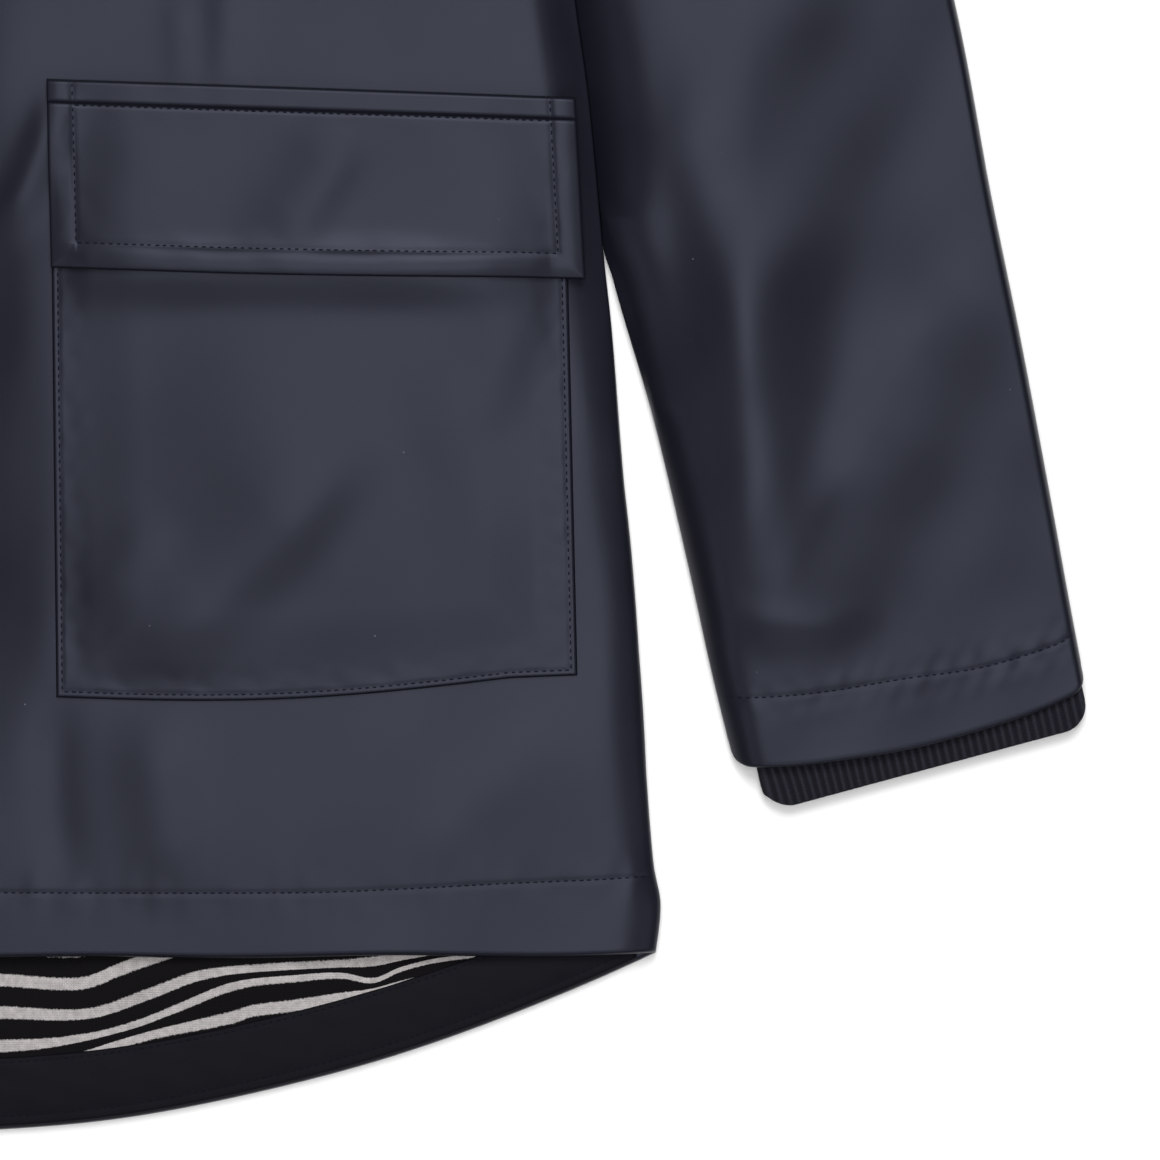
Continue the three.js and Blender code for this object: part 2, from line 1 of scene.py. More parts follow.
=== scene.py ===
# A child's lined raincoat, laid flat with its front up and seen from straight above.
# Lengths are in millimetres, X to the wearer's left and Y to the collar, until makeMesh turns them to metres.
import math

import bpy
import numpy as np
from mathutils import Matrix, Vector


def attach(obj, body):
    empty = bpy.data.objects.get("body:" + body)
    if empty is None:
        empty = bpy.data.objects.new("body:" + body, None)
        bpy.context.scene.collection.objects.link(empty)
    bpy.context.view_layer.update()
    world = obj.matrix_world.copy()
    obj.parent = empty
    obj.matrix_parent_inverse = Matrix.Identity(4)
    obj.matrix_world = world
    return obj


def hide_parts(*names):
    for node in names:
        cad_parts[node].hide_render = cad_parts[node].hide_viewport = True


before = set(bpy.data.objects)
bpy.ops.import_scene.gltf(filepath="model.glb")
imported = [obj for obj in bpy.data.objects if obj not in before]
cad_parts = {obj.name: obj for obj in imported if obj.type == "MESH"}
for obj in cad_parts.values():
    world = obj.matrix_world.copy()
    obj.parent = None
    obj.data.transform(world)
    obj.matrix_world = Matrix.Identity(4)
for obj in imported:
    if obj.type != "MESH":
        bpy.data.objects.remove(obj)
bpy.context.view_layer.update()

mm = 0.001
gap = 0.3  # air between two layers of cloth
floorGap = 0.05  # the least height of a turned rim over the floor
deepTurn = 3  # a rim row turned further in than this runs towards the panel's middle
sides = ((1, "left"), (-1, "right"))
rippleWaves = 7
rippleLengths = (0.6, 1.7)  # the shortest and longest wave, in shares of the ripple's size


# Small sums that every piece uses

def mix(a, b, t):
    return a + (b - a) * t


def smooth(at, low, high):
    t = np.clip((at - low) / (high - low), 0, 1)
    return t * t * (3 - 2 * t)


def bell(distance, width):
    # 1 in the middle, and almost nothing at twice the width
    return np.exp(-((distance / width) ** 2))


def roundRise(distance, width):
    # a quarter circle, from 0 at an edge to 1 at the width
    t = np.clip(1 - distance / width, 0, 1)
    return np.sqrt(1 - t * t)


def curveThrough(rows, at):
    # a smooth curve through (key, value) rows
    keys, values = np.array(rows, float).T
    last = len(keys) - 1
    order = np.arange(last + 1)
    before = np.maximum(order - 1, 0)
    after = np.minimum(order + 1, last)
    slopes = (values[after] - values[before]) / (keys[after] - keys[before])
    i = np.clip(np.searchsorted(keys, at) - 1, 0, last - 1)
    step = keys[i + 1] - keys[i]
    t = np.clip((at - keys[i]) / step, 0, 1)
    start = (2 * t**3 - 3 * t**2 + 1) * values[i] + (t**3 - 2 * t**2 + t) * slopes[i] * step
    return start + (3 * t**2 - 2 * t**3) * values[i + 1] + (t**3 - t**2) * slopes[i + 1] * step


def ripple(x, y, size, seed):
    # smooth unevenness between about -1 and 1, the same on every run
    rng = np.random.default_rng(seed)
    total = 0
    for _ in range(rippleWaves):
        angle = rng.uniform(0, math.pi)
        length = size * rng.uniform(*rippleLengths)
        along = x * math.cos(angle) + y * math.sin(angle)
        total = total + np.sin(along / length * 2 * math.pi + rng.uniform(0, 2 * math.pi))
    return total / math.sqrt(rippleWaves * 2)


def waved(wave, x, y, seed):
    return wave["height"] * ripple(x, y, wave["size"], seed)


def fineShares(length, step, dense=(0, 1), fine=0.35, reach=4):
    # shares from 0 to 1 with wide steps, and close ones beside each dense share
    shares = list(np.linspace(0, 1, int(length / step) + 1))
    for place in dense:
        near = np.arange(-reach, reach + fine / 2, fine) / length + place
        shares = [s for s in shares if abs(s - place) * length > reach] + list(near)
    shares = np.clip(np.sort(np.array(shares)), 0, 1)
    return np.unique(np.round(shares, 6))


# From grids of points to Blender objects

def gridQuads(rows, columns, around=False):
    j, i = np.meshgrid(np.arange(rows - 1), np.arange(columns if around else columns - 1), indexing="ij")
    here, beyond = j * columns, (j + 1) * columns
    after = (i + 1) % columns
    return np.stack([here + i, here + after, beyond + after, beyond + i], -1).reshape(-1, 4)


def makeMesh(name, points, quads, material, slot, uv=None):
    mesh = bpy.data.meshes.new(name)
    mesh.from_pydata((np.asarray(points) * mm).tolist(), [], np.asarray(quads).tolist())
    mesh.polygons.foreach_set("use_smooth", np.ones(len(mesh.polygons), bool))
    if uv is not None:
        corner = np.empty(len(mesh.loops), int)
        mesh.loops.foreach_get("vertex_index", corner)
        layer = mesh.uv_layers.new(name="clothUv")
        layer.data.foreach_set("uv", np.asarray(uv, np.float32)[corner].ravel())
    mesh.update()
    piece = bpy.data.objects.new(name, mesh)
    bpy.context.scene.collection.objects.link(piece)
    mesh.materials.append(material)
    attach(piece, "root")
    return piece


def mirrored(points, quads, side):
    # the wearer's right half is the mirror of the left, with its faces turned round
    return (points, quads) if side > 0 else (points * [-1, 1, 1], quads[:, ::-1])


def panelMesh(name, side, x, y, z, rim, material, slot, uv=None):
    # a panel's top with its rim turned down round all four edges; each rim row is (outward, down)
    rows, columns = x.shape
    index = np.arange(rows * columns).reshape(rows, columns)
    loop = np.concatenate([index[0, :-1], index[:-1, -1], index[-1, :0:-1], index[:0:-1, 0]])
    points = np.stack([x, y, z], -1).reshape(-1, 3)
    edge = points[loop]
    along = np.roll(edge, -1, 0) - np.roll(edge, 1, 0)
    outward = np.stack([along[:, 1], -along[:, 0]], -1)
    outward /= np.maximum(np.linalg.norm(outward, axis=1, keepdims=True), 1e-9)
    inward = edge[:, :2].mean(0) - edge[:, :2]
    inward /= np.linalg.norm(inward, axis=1, keepdims=True)
    rings = []
    for out, down in rim:
        ring = edge.copy()
        ring[:, :2] += inward * -out if out < -deepTurn else outward * out
        ring[:, 2] = np.maximum(edge[:, 2] - down, floorGap)
        rings.append(ring)
    quads = [gridQuads(rows, columns)]
    count, previous = len(loop), loop
    for n in range(len(rim)):
        ringIndex = rows * columns + n * count + np.arange(count)
        quads.append(np.stack([np.roll(previous, -1), previous, ringIndex, np.roll(ringIndex, -1)], -1))
        previous = ringIndex
    quads = np.concatenate(quads)
    points = np.concatenate([points, *rings])
    if uv is not None:
        uv = np.concatenate([uv.reshape(-1, 2), *[uv.reshape(-1, 2)[loop]] * len(rim)])
    return makeMesh(name, *mirrored(points, quads, side), material, slot, uv)


def ringsMesh(name, side, rings, material, slot, uv=None):
    # a tube, from rings of points that go round it
    rings = np.array(rings)
    points = rings.reshape(-1, 3)
    quads = gridQuads(*rings.shape[:2], around=True)
    return makeMesh(name, *mirrored(points, quads, side), material, slot, uv)


# Nodes

def newNode(tree, kind, values, **settings):
    node = tree.nodes.new(kind)
    for key, value in settings.items():
        setattr(node, key, value)
    for key, value in values.items():
        socket = node.inputs[key]
        if isinstance(value, bpy.types.NodeSocket):
            tree.links.new(value, socket)
        else:
            socket.default_value = value
    return node


def maths(tree, operation, a, b=0.0, clamp=False):
    return newNode(tree, "ShaderNodeMath", {0: a, 1: b}, operation=operation, use_clamp=clamp).outputs[0]


def blended(tree, share, a, b):
    # the colour mix's own sockets are number 0, 6 and 7, and its result is number 2
    return newNode(tree, "ShaderNodeMix", {0: share, 6: a, 7: b}, data_type="RGBA").outputs[2]


def ranged(tree, value, low, high, toLow, toHigh):
    values = {"Value": value, "From Min": low, "From Max": high, "To Min": toLow, "To Max": toHigh}
    return newNode(tree, "ShaderNodeMapRange", values).outputs["Result"]


def noise(tree, place, scale, detail):
    values = {"Vector": place, "Scale": scale, "Detail": detail}
    return newNode(tree, "ShaderNodeTexNoise", values).outputs["Fac"]


def placeOnCloth(tree):
    return tree.nodes.new("ShaderNodeTexCoord").outputs["Object"]


def waves(tree, along, turns):
    return maths(tree, "SINE", maths(tree, "MULTIPLY", along, turns))


def parted(tree, vector):
    return newNode(tree, "ShaderNodeSeparateXYZ", {"Vector": vector}).outputs


def clothUv(tree):
    return newNode(tree, "ShaderNodeUVMap", {}, uv_map="clothUv").outputs["UV"]


def newGroup(name, inputs, outputs):
    group = bpy.data.node_groups.new(name, "ShaderNodeTree")
    for label, kind, value in inputs:
        socket = group.interface.new_socket(name=label, in_out="INPUT", socket_type=kind)
        socket.default_value = value
    for label, kind in outputs:
        group.interface.new_socket(name=label, in_out="OUTPUT", socket_type=kind)
    return group, group.nodes.new("NodeGroupInput"), group.nodes.new("NodeGroupOutput")


dustSpecks = {
    "perMetre": 105.0, "core": 0.018, "edge": 0.03, "rareAbove": 0.86, "colour": (0.22, 0.22, 0.24, 1),
}
noiseLow, noiseHigh = 0.35, 0.65  # the range that most of a noise's values lie in


def clothMottleGroup():
    # slow unevenness of the dye and the coating, and a few pale dust specks
    number, colour = "NodeSocketFloat", "NodeSocketColor"
    group, given, result = newGroup(
        "clothMottle",
        [("Colour", colour, (0.02, 0.02, 0.03, 1)), ("Lighter", colour, (0.03, 0.03, 0.04, 1)),
         ("Patch Size", number, 0.05), ("Dust", number, 0.5), ("Roughness", number, 0.45),
         ("Roughness Swing", number, 0.05)],
        [("Colour", colour), ("Roughness", number)],
    )
    place = placeOnCloth(group)
    patch = noise(group, place, maths(group, "DIVIDE", 1.0, given.outputs["Patch Size"]), 4.0)
    share = ranged(group, patch, noiseLow, noiseHigh, 0.0, 1.0)
    mottled = blended(group, share, given.outputs["Colour"], given.outputs["Lighter"])
    values = {"Vector": place, "Scale": dustSpecks["perMetre"], "Randomness": 1.0}
    specks = newNode(group, "ShaderNodeTexVoronoi", values).outputs
    dot = ranged(group, specks["Distance"], dustSpecks["core"], dustSpecks["edge"], 1.0, 0.0)
    chosen = newNode(group, "ShaderNodeSeparateColor", {"Color": specks["Color"]}).outputs["Red"]
    rare = maths(group, "GREATER_THAN", chosen, dustSpecks["rareAbove"])
    dust = maths(group, "MULTIPLY", maths(group, "MULTIPLY", dot, rare), given.outputs["Dust"])
    dusty = blended(group, dust, mottled, dustSpecks["colour"])
    group.links.new(dusty, result.inputs["Colour"])
    swing = maths(group, "MULTIPLY", maths(group, "SUBTRACT", share, 0.5), given.outputs["Roughness Swing"])
    group.links.new(maths(group, "ADD", given.outputs["Roughness"], swing), result.inputs["Roughness"])
    return group


def clothGrainGroup():
    # the height of a fine pebbled skin over a close weave
    number = "NodeSocketFloat"
    group, given, result = newGroup(
        "clothGrain",
        [("Pebble Size", number, 0.0007), ("Weave Pitch", number, 0.0005), ("Weave Share", number, 0.3)],
        [("Height", number)],
    )
    place = placeOnCloth(group)
    pebble = noise(group, place, maths(group, "DIVIDE", 1.0, given.outputs["Pebble Size"]), 3.0)
    turns = maths(group, "DIVIDE", 2 * math.pi, given.outputs["Weave Pitch"])
    across, along = [waves(group, parted(group, place)[axis], turns) for axis in "XY"]
    weave = maths(group, "MULTIPLY", maths(group, "MULTIPLY", across, along), given.outputs["Weave Share"])
    group.links.new(maths(group, "ADD", pebble, weave), result.inputs["Height"])
    return group


mottleGroup = clothMottleGroup()
grainGroup = clothGrainGroup()


def newMaterial(name, roughness, specular, sheen=0.0, tint=(1, 1, 1, 1)):
    material = bpy.data.materials.new(name)
    material.use_nodes = True
    tree = material.node_tree
    shader = tree.nodes["Principled BSDF"]
    shader.inputs["Roughness"].default_value = roughness
    shader.inputs["Specular IOR Level"].default_value = specular
    shader.inputs["Sheen Weight"].default_value = sheen
    shader.inputs["Sheen Roughness"].default_value = 0.4
    shader.inputs["Specular Tint"].default_value = tint
    return material, tree, shader


def addBump(tree, shader, height, strength, distance):
    bump = newNode(tree, "ShaderNodeBump", {"Height": height, "Strength": strength, "Distance": distance})
    tree.links.new(bump.outputs["Normal"], shader.inputs["Normal"])


def clothMaterial(name, look):
    given = [look[key] for key in ("roughness", "specular", "sheen", "tint")]
    material, tree, shader = newMaterial(name, *given)
    mottle = newNode(tree, "ShaderNodeGroup", {}, node_tree=mottleGroup)
    grain = newNode(tree, "ShaderNodeGroup", {}, node_tree=grainGroup)
    for node in (mottle, grain):
        # each socket takes the look's value of the same name, so "Patch Size" takes patchSize
        for socket in node.inputs:
            words = socket.name.replace(" ", "")
            socket.default_value = look[words[0].lower() + words[1:]]
    tree.links.new(mottle.outputs["Colour"], shader.inputs["Base Color"])
    tree.links.new(mottle.outputs["Roughness"], shader.inputs["Roughness"])
    addBump(tree, shader, grain.outputs["Height"], look["grainStrength"], look["grainDepth"])
    return material


coatedLook = {
    "colour": (0.0068, 0.0072, 0.0118, 1),
    "lighter": (0.0086, 0.0091, 0.0142, 1),
    "patchSize": 0.045,
    "dust": 0.55,
    "roughness": 0.37,
    "roughnessSwing": 0.04,
    "specular": 0.205,
    "sheen": 0.0,
    "tint": (0.7, 0.75, 1.0, 1),
    "pebbleSize": 0.0009,
    "weavePitch": 0.0006,
    "weaveShare": 0.2,
    "grainStrength": 0.12,
    "grainDepth": 0.0001,
}
# the hem facing: the same coated cloth with its colour painted darker as painted shade, and set rougher and
# less glossy
facingLookPaintedShade = {
    **coatedLook,
    "colour": (0.003, 0.003, 0.0047, 1),
    "lighter": (0.004, 0.004, 0.006, 1),
    "roughness": 0.6,
    "specular": 0.08,
    "tint": (0.85, 0.85, 1.0, 1),
    "grainStrength": 0.25,
}
threadLook = {
    **coatedLook,
    "colour": (0.0052, 0.0057, 0.011, 1),
    "lighter": (0.0078, 0.0083, 0.0155, 1),
    "patchSize": 0.004,
    "dust": 0.0,
    "roughness": 0.7,
    "specular": 0.1,
    "weavePitch": 0.0004,
    "weaveShare": 0.8,
    "grainStrength": 0.5,
}
studLook = {
    **coatedLook,
    "colour": (0.02, 0.022, 0.032, 1),
    "lighter": (0.024, 0.026, 0.037, 1),
    "patchSize": 0.01,
    "dust": 0.3,
    "roughness": 0.3,
    "specular": 0.5,
    "grainStrength": 0.03,
}
coated = clothMaterial("coatedCloth", coatedLook)
facingCloth = clothMaterial("facingCloth", facingLookPaintedShade)
thread = clothMaterial("sewingThread", threadLook)
studPaint = clothMaterial("studPaint", studLook)

liningLook = {
    "dark": (0.0045, 0.0038, 0.0048, 1),
    "pale": (0.475, 0.445, 0.445, 1),
    "paleShade": (0.37, 0.345, 0.345, 1),
    "paleHalfWidth": 0.185,  # of one stripe's pitch
    "edgeBlur": 0.02,
    "roughness": 0.92,
    "specular": 0.1,
    "fuzzScale": 1400.0,
    "shadeScale": 500.0,
    "jerseyPitch": 0.0007,
    "coursesPerWale": 1.3,
    "bumpStrength": 0.5,
    "bumpDepth": 0.00015,
}


def liningMaterial(look):
    # the mesh's own V counts stripes, with a whole number at the middle of each pale one
    material, tree, shader = newMaterial("stripedJersey", look["roughness"], look["specular"])
    place = placeOnCloth(tree)
    blur, edge = look["edgeBlur"], look["paleHalfWidth"]
    wobble = ranged(tree, noise(tree, place, look["fuzzScale"], 3.0), 0.3, 0.7, -blur, blur)
    part = maths(tree, "FRACT", maths(tree, "ADD", parted(tree, clothUv(tree))["Y"], 0.5))
    away = maths(tree, "ABSOLUTE", maths(tree, "SUBTRACT", part, 0.5))
    mask = ranged(tree, maths(tree, "ADD", away, wobble), edge - blur, edge + blur, 1.0, 0.0)
    shade = ranged(tree, noise(tree, place, look["shadeScale"], 4.0), noiseLow, noiseHigh, 0.0, 1.0)
    pale = blended(tree, shade, look["paleShade"], look["pale"])
    tree.links.new(blended(tree, mask, look["dark"], pale), shader.inputs["Base Color"])
    turns = 2 * math.pi / look["jerseyPitch"]
    wales = waves(tree, parted(tree, place)["X"], turns)
    courses = waves(tree, parted(tree, place)["Y"], turns * look["coursesPerWale"])
    addBump(tree, shader, maths(tree, "ADD", wales, courses), look["bumpStrength"], look["bumpDepth"])
    return material


ribLook = {
    # groove: the knit's colour darkened in each groove, painted shade; crest: its colour on the ribs
    "groove": (0.0078, 0.008, 0.0118, 1),
    "crest": (0.0235, 0.0238, 0.0335, 1),
    "roughness": 0.95,
    "specular": 0.1,
    "sheen": 0.05,
    "fleckScale": 1500.0,
    "fleckShare": 0.3,
    "loopPitch": 0.0009,
    "bumpStrength": 0.25,
    "bumpDepth": 0.0002,
}


def ribMaterial(look):
    # the mesh's own U runs from 0 in a groove to 1 on a rib, and the colour darkens towards each groove as
    # painted shade
    material, tree, shader = newMaterial("ribKnit", look["roughness"], look["specular"], look["sheen"])
    place = placeOnCloth(tree)
    flecks = noise(tree, place, look["fleckScale"], 4.0)
    fleck = maths(tree, "MULTIPLY", maths(tree, "SUBTRACT", flecks, 0.5), look["fleckShare"] * 4)
    crest = parted(tree, clothUv(tree))["X"]
    share = maths(tree, "MULTIPLY", crest, maths(tree, "ADD", 1 - look["fleckShare"], fleck), clamp=True)
    # painted shade: the colour darkens from the crest colour to the groove colour into each groove
    tree.links.new(blended(tree, share, look["groove"], look["crest"]), shader.inputs["Base Color"])
    loops = waves(tree, parted(tree, place)["Y"], 2 * math.pi / look["loopPitch"])
    addBump(tree, shader, maths(tree, "ADD", loops, flecks), look["bumpStrength"], look["bumpDepth"])
    return material


striped = liningMaterial(liningLook)
ribKnit = ribMaterial(ribLook)
print("materials made")


# The body's outline and the height of its lying cloth

body = {
    "hemY": -258,
    "hemHalf": 226.5,
    "hemRise": 1.4,
    "tailY": -311,
    "armpitY": 112,
    "shoulder": (178, 245),
    "neckHalf": 78,
    "neckSideY": 283,
    "neckPower": 2.5,
    "neckBlend": 24,
    "frontNeckY": 226,
    "backNeckY": 271,
    "backWall": 3,
    "top": 8.6,
    "edgeTop": 4.5,
    "edgeRound": 13,
    "armpitRound": 24,
    "shoulderRound": 8,
    # the body's edge sinks beside the sleeve, fully between the two ranges of Y
    "besideSleeve": {"lowZ": 3.6, "keep": 0.1, "reach": 15, "begin": (-110, -30), "end": (92, 142)},
    "foldShare": 0.7,
    "uneven": {"height": 0.4, "size": 62},
    "crown": 1.2,
    "crownReach": 90,
    "side": [
        (-258, 226.5), (-242, 228), (-230, 226), (-198, 223.5), (-150, 220.5), (-114, 217), (-70, 213.5),
        (-47, 211), (0, 206.5), (29, 202.5), (70, 197.5), (112, 192), (150, 182), (190, 175), (225, 175),
        (245, 178),
    ],
}


def sideHalf(y):
    return curveThrough(body["side"], y)


def hemLine(u):
    return body["hemY"] + body["hemRise"] * u**4


def tailLine(u):
    return mix(body["tailY"], hemLine(1), u * u)


def shoulderLine(x):
    shoulderX, shoulderY = body["shoulder"]
    return mix(body["neckSideY"], shoulderY, (x - body["neckHalf"]) / (shoulderX - body["neckHalf"]))


def neckLine(x, centreY):
    share = 1 - np.clip(x / body["neckHalf"], 0, 1) ** body["neckPower"]
    return mix(body["neckSideY"], centreY, share)


def panelPlace(u, v, bottomLine, centreNeckY):
    across = u * body["shoulder"][0]
    top = np.where(across < body["neckHalf"], neckLine(across, centreNeckY), shoulderLine(across))
    y = mix(bottomLine(u), top, v)
    return u * sideHalf(mix(hemLine(1), body["shoulder"][1], v)), y


# where a fold begins and is full, and where it sinks and ends, in shares of its length
foldBegin, foldEnd = (-0.25, 0.3), (0.7, 1.25)


def foldHeight(folds, x, y):
    # each fold is (start X, start Y, end X, end Y, width, height, bow, width on its far side);
    # the last two may be left out
    total = np.zeros_like(x)
    for startX, startY, endX, endY, width, height, *more in folds:
        bow = more[0] if more else 0
        farWidth = more[1] if len(more) > 1 else width
        alongX, alongY = endX - startX, endY - startY
        length = math.hypot(alongX, alongY)
        fromX, fromY = x - startX, y - startY
        t = (fromX * alongX + fromY * alongY) / length**2
        off = (fromX * alongY - fromY * alongX) / length
        off = off - bow * 4 * np.clip(t, 0, 1) * (1 - np.clip(t, 0, 1))
        fade = smooth(t, *foldBegin) * (1 - smooth(t, *foldEnd))
        total = total + height * fade * bell(off, np.where(off > 0, width, farWidth))
    return total


bodyFolds = {
    1: [
        (22, -20, 40, 60, 16, 1.5), (24, -24, 23, -190, 11, -3.4), (76, -190, 82, -236, 11, 1.2),
        (96, 20, 104, 100, 15, 1.3), (186, 70, 120, 150, 17, 1.6), (29, -40, 46, -2, 7, 2.0, 2, 5),
        (38, -75, 36, -180, 8, -0.8), (47, -182, 50, -232, 7, -0.9, 2), (97, 4, 99, 34, 6, 0.6),
        (85, 4, 83, 30, 5, 0.45), (150, 40, 196, 118, 9, 0.9, 6), (120, 190, 60, 236, 10, 0.8, 4),
        (190, -196, 150, -232, 10, 0.5), (206, 20, 192, 96, 8, -0.8),
    ],
    -1: [
        (24, -30, 36, 70, 16, 1.3), (29, -40, 28, -196, 10, 2.8), (118, -192, 112, -234, 12, 1.2),
        (88, 24, 112, 110, 16, 1.4), (182, 80, 126, 160, 17, 1.5), (30, -60, 40, -12, 7, 0.9, 2),
        (60, -184, 66, -230, 7, -0.8, 2), (120, 6, 128, 44, 6, 0.6), (160, 30, 190, 104, 10, 0.8, -5),
        (110, 180, 64, 228, 9, 0.9, -4), (176, -192, 204, -230, 9, 0.6), (200, 30, 190, 88, 8, -0.7),
    ],
}


def armholeRise(y):
    fromArmpit = y - body["armpitY"]
    lowRise = roundRise(fromArmpit, body["armpitRound"])
    highRise = roundRise(body["shoulder"][1] - y, body["shoulderRound"])
    return np.where(fromArmpit > 0, np.minimum(lowRise, highRise), 0)


def frontHeight(x, y, side):
    fromSide = np.maximum(sideHalf(y) - x, 0)
    atShoulder = smooth(x, body["neckHalf"] - body["neckBlend"], body["neckHalf"])
    fromShoulder = np.maximum(shoulderLine(x) - y, 0)
    sideRise = np.maximum(roundRise(fromSide, body["edgeRound"]), armholeRise(y))
    topRise = mix(1, roundRise(fromShoulder, body["edgeRound"]), atShoulder)
    crown = body["crown"] * smooth(fromSide, 0, body["crownReach"])
    uneven = waved(body["uneven"], x, y, 3 + side)
    full = body["top"] + crown + body["foldShare"] * foldHeight(bodyFolds[side], x, y) + uneven
    z = mix(body["edgeTop"], full, np.minimum(sideRise, topRise))
    slope = body["besideSleeve"]
    beside = smooth(y, *slope["begin"]) * (1 - smooth(y, *slope["end"]))
    sink = (1 - slope["keep"]) * beside * np.clip(1 - fromSide / slope["reach"], 0, 1) ** 2
    return slope["lowZ"] + (np.maximum(z, slope["lowZ"]) - slope["lowZ"]) * (1 - sink)


# Stitches: short threads that dip at both ends, lying in a shallow groove

stitch = {
    "pitch": 2.3, "length": 1.75, "lengths": (0.8, 1.08), "shift": 0.06, "radius": 0.2, "dip": 0.3,
    "sides": 6, "rings": 5, "groove": 0.12, "grooveWidth": 0.9,
}
stitchPlaces = {1: [], -1: []}


def grooveDepth(distance):
    return stitch["groove"] * bell(distance, stitch["grooveWidth"])


def sewLine(side, x, y, heightAt):
    # marks a stitch at each pitch along a line of points
    line = np.stack([x, y], -1)
    run = np.concatenate([[0], np.cumsum(np.linalg.norm(np.diff(line, axis=0), axis=1))])
    count = int(run[-1] / stitch["pitch"])
    rng = np.random.default_rng(count)
    shift = rng.uniform(-stitch["shift"], stitch["shift"], count)
    middles = (np.arange(count) + 0.5 + shift) * run[-1] / count
    halves = stitch["length"] / 2 * rng.uniform(*stitch["lengths"], count)
    for middle, half in zip(middles, halves):
        at = middle + np.array([-half, half])
        ends = np.stack([np.interp(at, run, line[:, k]) for k in (0, 1)], -1)
        z = heightAt(ends[:, 0], ends[:, 1])
        stitchPlaces[side].append((ends[0], ends[1], float(np.mean(z))))


def makeStitches(name, side, places):
    share = np.linspace(0, 1, stitch["rings"])
    ends = (2 * share - 1) ** 4
    angles = np.arange(stitch["sides"]) / stitch["sides"] * 2 * math.pi
    radius = stitch["radius"] * np.sqrt(np.clip(1 - ends, 0.02, 1))
    lift = 0.5 * stitch["radius"] - stitch["dip"] * ends
    oneQuads = gridQuads(stitch["rings"], stitch["sides"], around=True)
    allPoints, allQuads = [], []
    for n, (start, end, z) in enumerate(places):
        along = end - start
        across = np.array([along[1], -along[0]]) / np.linalg.norm(along)
        centre = start + share[:, None] * along
        plane = centre[:, None, :] + (radius[:, None] * np.cos(angles))[..., None] * across
        height = z + lift[:, None] + radius[:, None] * np.sin(angles)
        allPoints.append(np.concatenate([plane, height[..., None]], -1).reshape(-1, 3))
        allQuads.append(oneQuads + n * stitch["rings"] * stitch["sides"])
    points, quads = mirrored(np.concatenate(allPoints), np.concatenate(allQuads), side)
    makeMesh(name, points, quads, thread, "coated_cloth")


# Fronts

front = {
    "step": 1.7,
    "length": 541,
    "width": 226,
    "middleGap": 0.3,
    "hemRound": 1.6,
    "sideWave": {"height": 0.35, "size": 60},
    "hemWave": {"height": 0.5, "size": 70},
    "pucker": {"height": 0.1, "size": 9, "stretch": 0.35, "reach": 7},
    "hemStitch": [(0, 19.6), (120, 19.4), (150, 20.3), (180, 21.6), (210, 22.4), (228, 23.2)],
    "rim": [(0.12, 0.5), (0.05, 1.2), (-0.5, 1.8), (-1.6, 2.2), (-9, 2.3)],
}


def hemStitchY(x):
    return hemLine(x / body["hemHalf"]) + curveThrough(front["hemStitch"], x)


def frontSurface(x, y, side):
    fromStitch = y - hemStitchY(x)
    pucker = front["pucker"]
    pull = waved(pucker, x, y * pucker["stretch"], 21)
    return frontHeight(x, y, side) - grooveDepth(fromStitch) + pull * bell(fromStitch, pucker["reach"])


def makeFront(side, name):
    length = front["length"]
    vShares = fineShares(length, front["step"], dense=(0, 20 / length, 23 / length, 1))
    uShares = fineShares(front["width"], front["step"], dense=(1,), reach=10, fine=0.6)
    u, v = np.meshgrid(uShares, vShares)
    x, y = panelPlace(u, v, hemLine, body["frontNeckY"])
    x = np.maximum(x, front["middleGap"])
    sideShift = waved(front["sideWave"], x * 0, y, 31 + side)
    x = x + sideShift * smooth(u, 0.9, 1) * (1 - smooth(y, -110, -60))
    y = y + waved(front["hemWave"], x, y * 0, 41 + side) * (1 - smooth(v, 0, 0.05))
    z = frontSurface(x, y, side)
    endRise = [roundRise(fromEnd, front["hemRound"]) for fromEnd in (v * length, (1 - v) * length)]
    drop = front["hemRound"] * (1 - np.minimum(*endRise))
    piece = panelMesh("front_shell_" + name, side, x, y, z - drop, front["rim"], coated, "coated_cloth")
    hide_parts("front_" + name)
    lineX = np.linspace(19, 224, 400)
    sewLine(side, lineX, hemStitchY(lineX), lambda a, b: frontSurface(a, b, side))


for side, name in sides:
    makeFront(side, name)
print("fronts made")


# Patch pockets, sewn down round three sides, and their flaps

pocket = {
    "top": ((45.3, -14), (199.5, -18)),
    "bottom": ((47.1, -179.8), (203.1, -173.2)),
    "sag": -3.4,
    "wall": 1.6,
    "step": 1.3,
    "round": 0.8,
    "stitchIn": 1.7,
    "stitchTop": 0.8,
    "puff": 0.9,
    "puffReach": (1.5, 26),
    "pucker": {"height": 0.07, "size": 11},
    # where it begins and how far it reaches, as the flap over it takes it
    "spanX": (45.6, 155),
    "spanY": (-178, 162),
    "rim": [(0.1, 0.35), (0.15, 0.9), (0.0, 1.7), (-0.5, 2.4)],
}
flap = {
    "top": ((44.4, 5.3), (202.5, -0.1)),
    "bottom": ((45.6, -51), (205.5, -54.4)),
    "sag": -0.8,
    "wall": 2.2,
    "step": 1.2,
    "round": 0.45,
    "lift": 1.5,
    "stitchIn": 7.6,
    "rimDrop": 0.35,
    "flatFrom": 16,
    "ridgeDepth": 7.2,
    "ridgeHeight": 1.1,
    "ridgeRound": 1.6,
    "ridgeSeam": {"depth": 0.25, "width": 0.6},
    "sidePuff": 0.3,
    "pucker": {"height": 0.06, "size": 10, "reach": 6},
    "rim": [(0.12, 0.5), (0.12, 1.1), (-0.4, 1.8), (-1.3, 2.1), (-14, 2.2)],
}
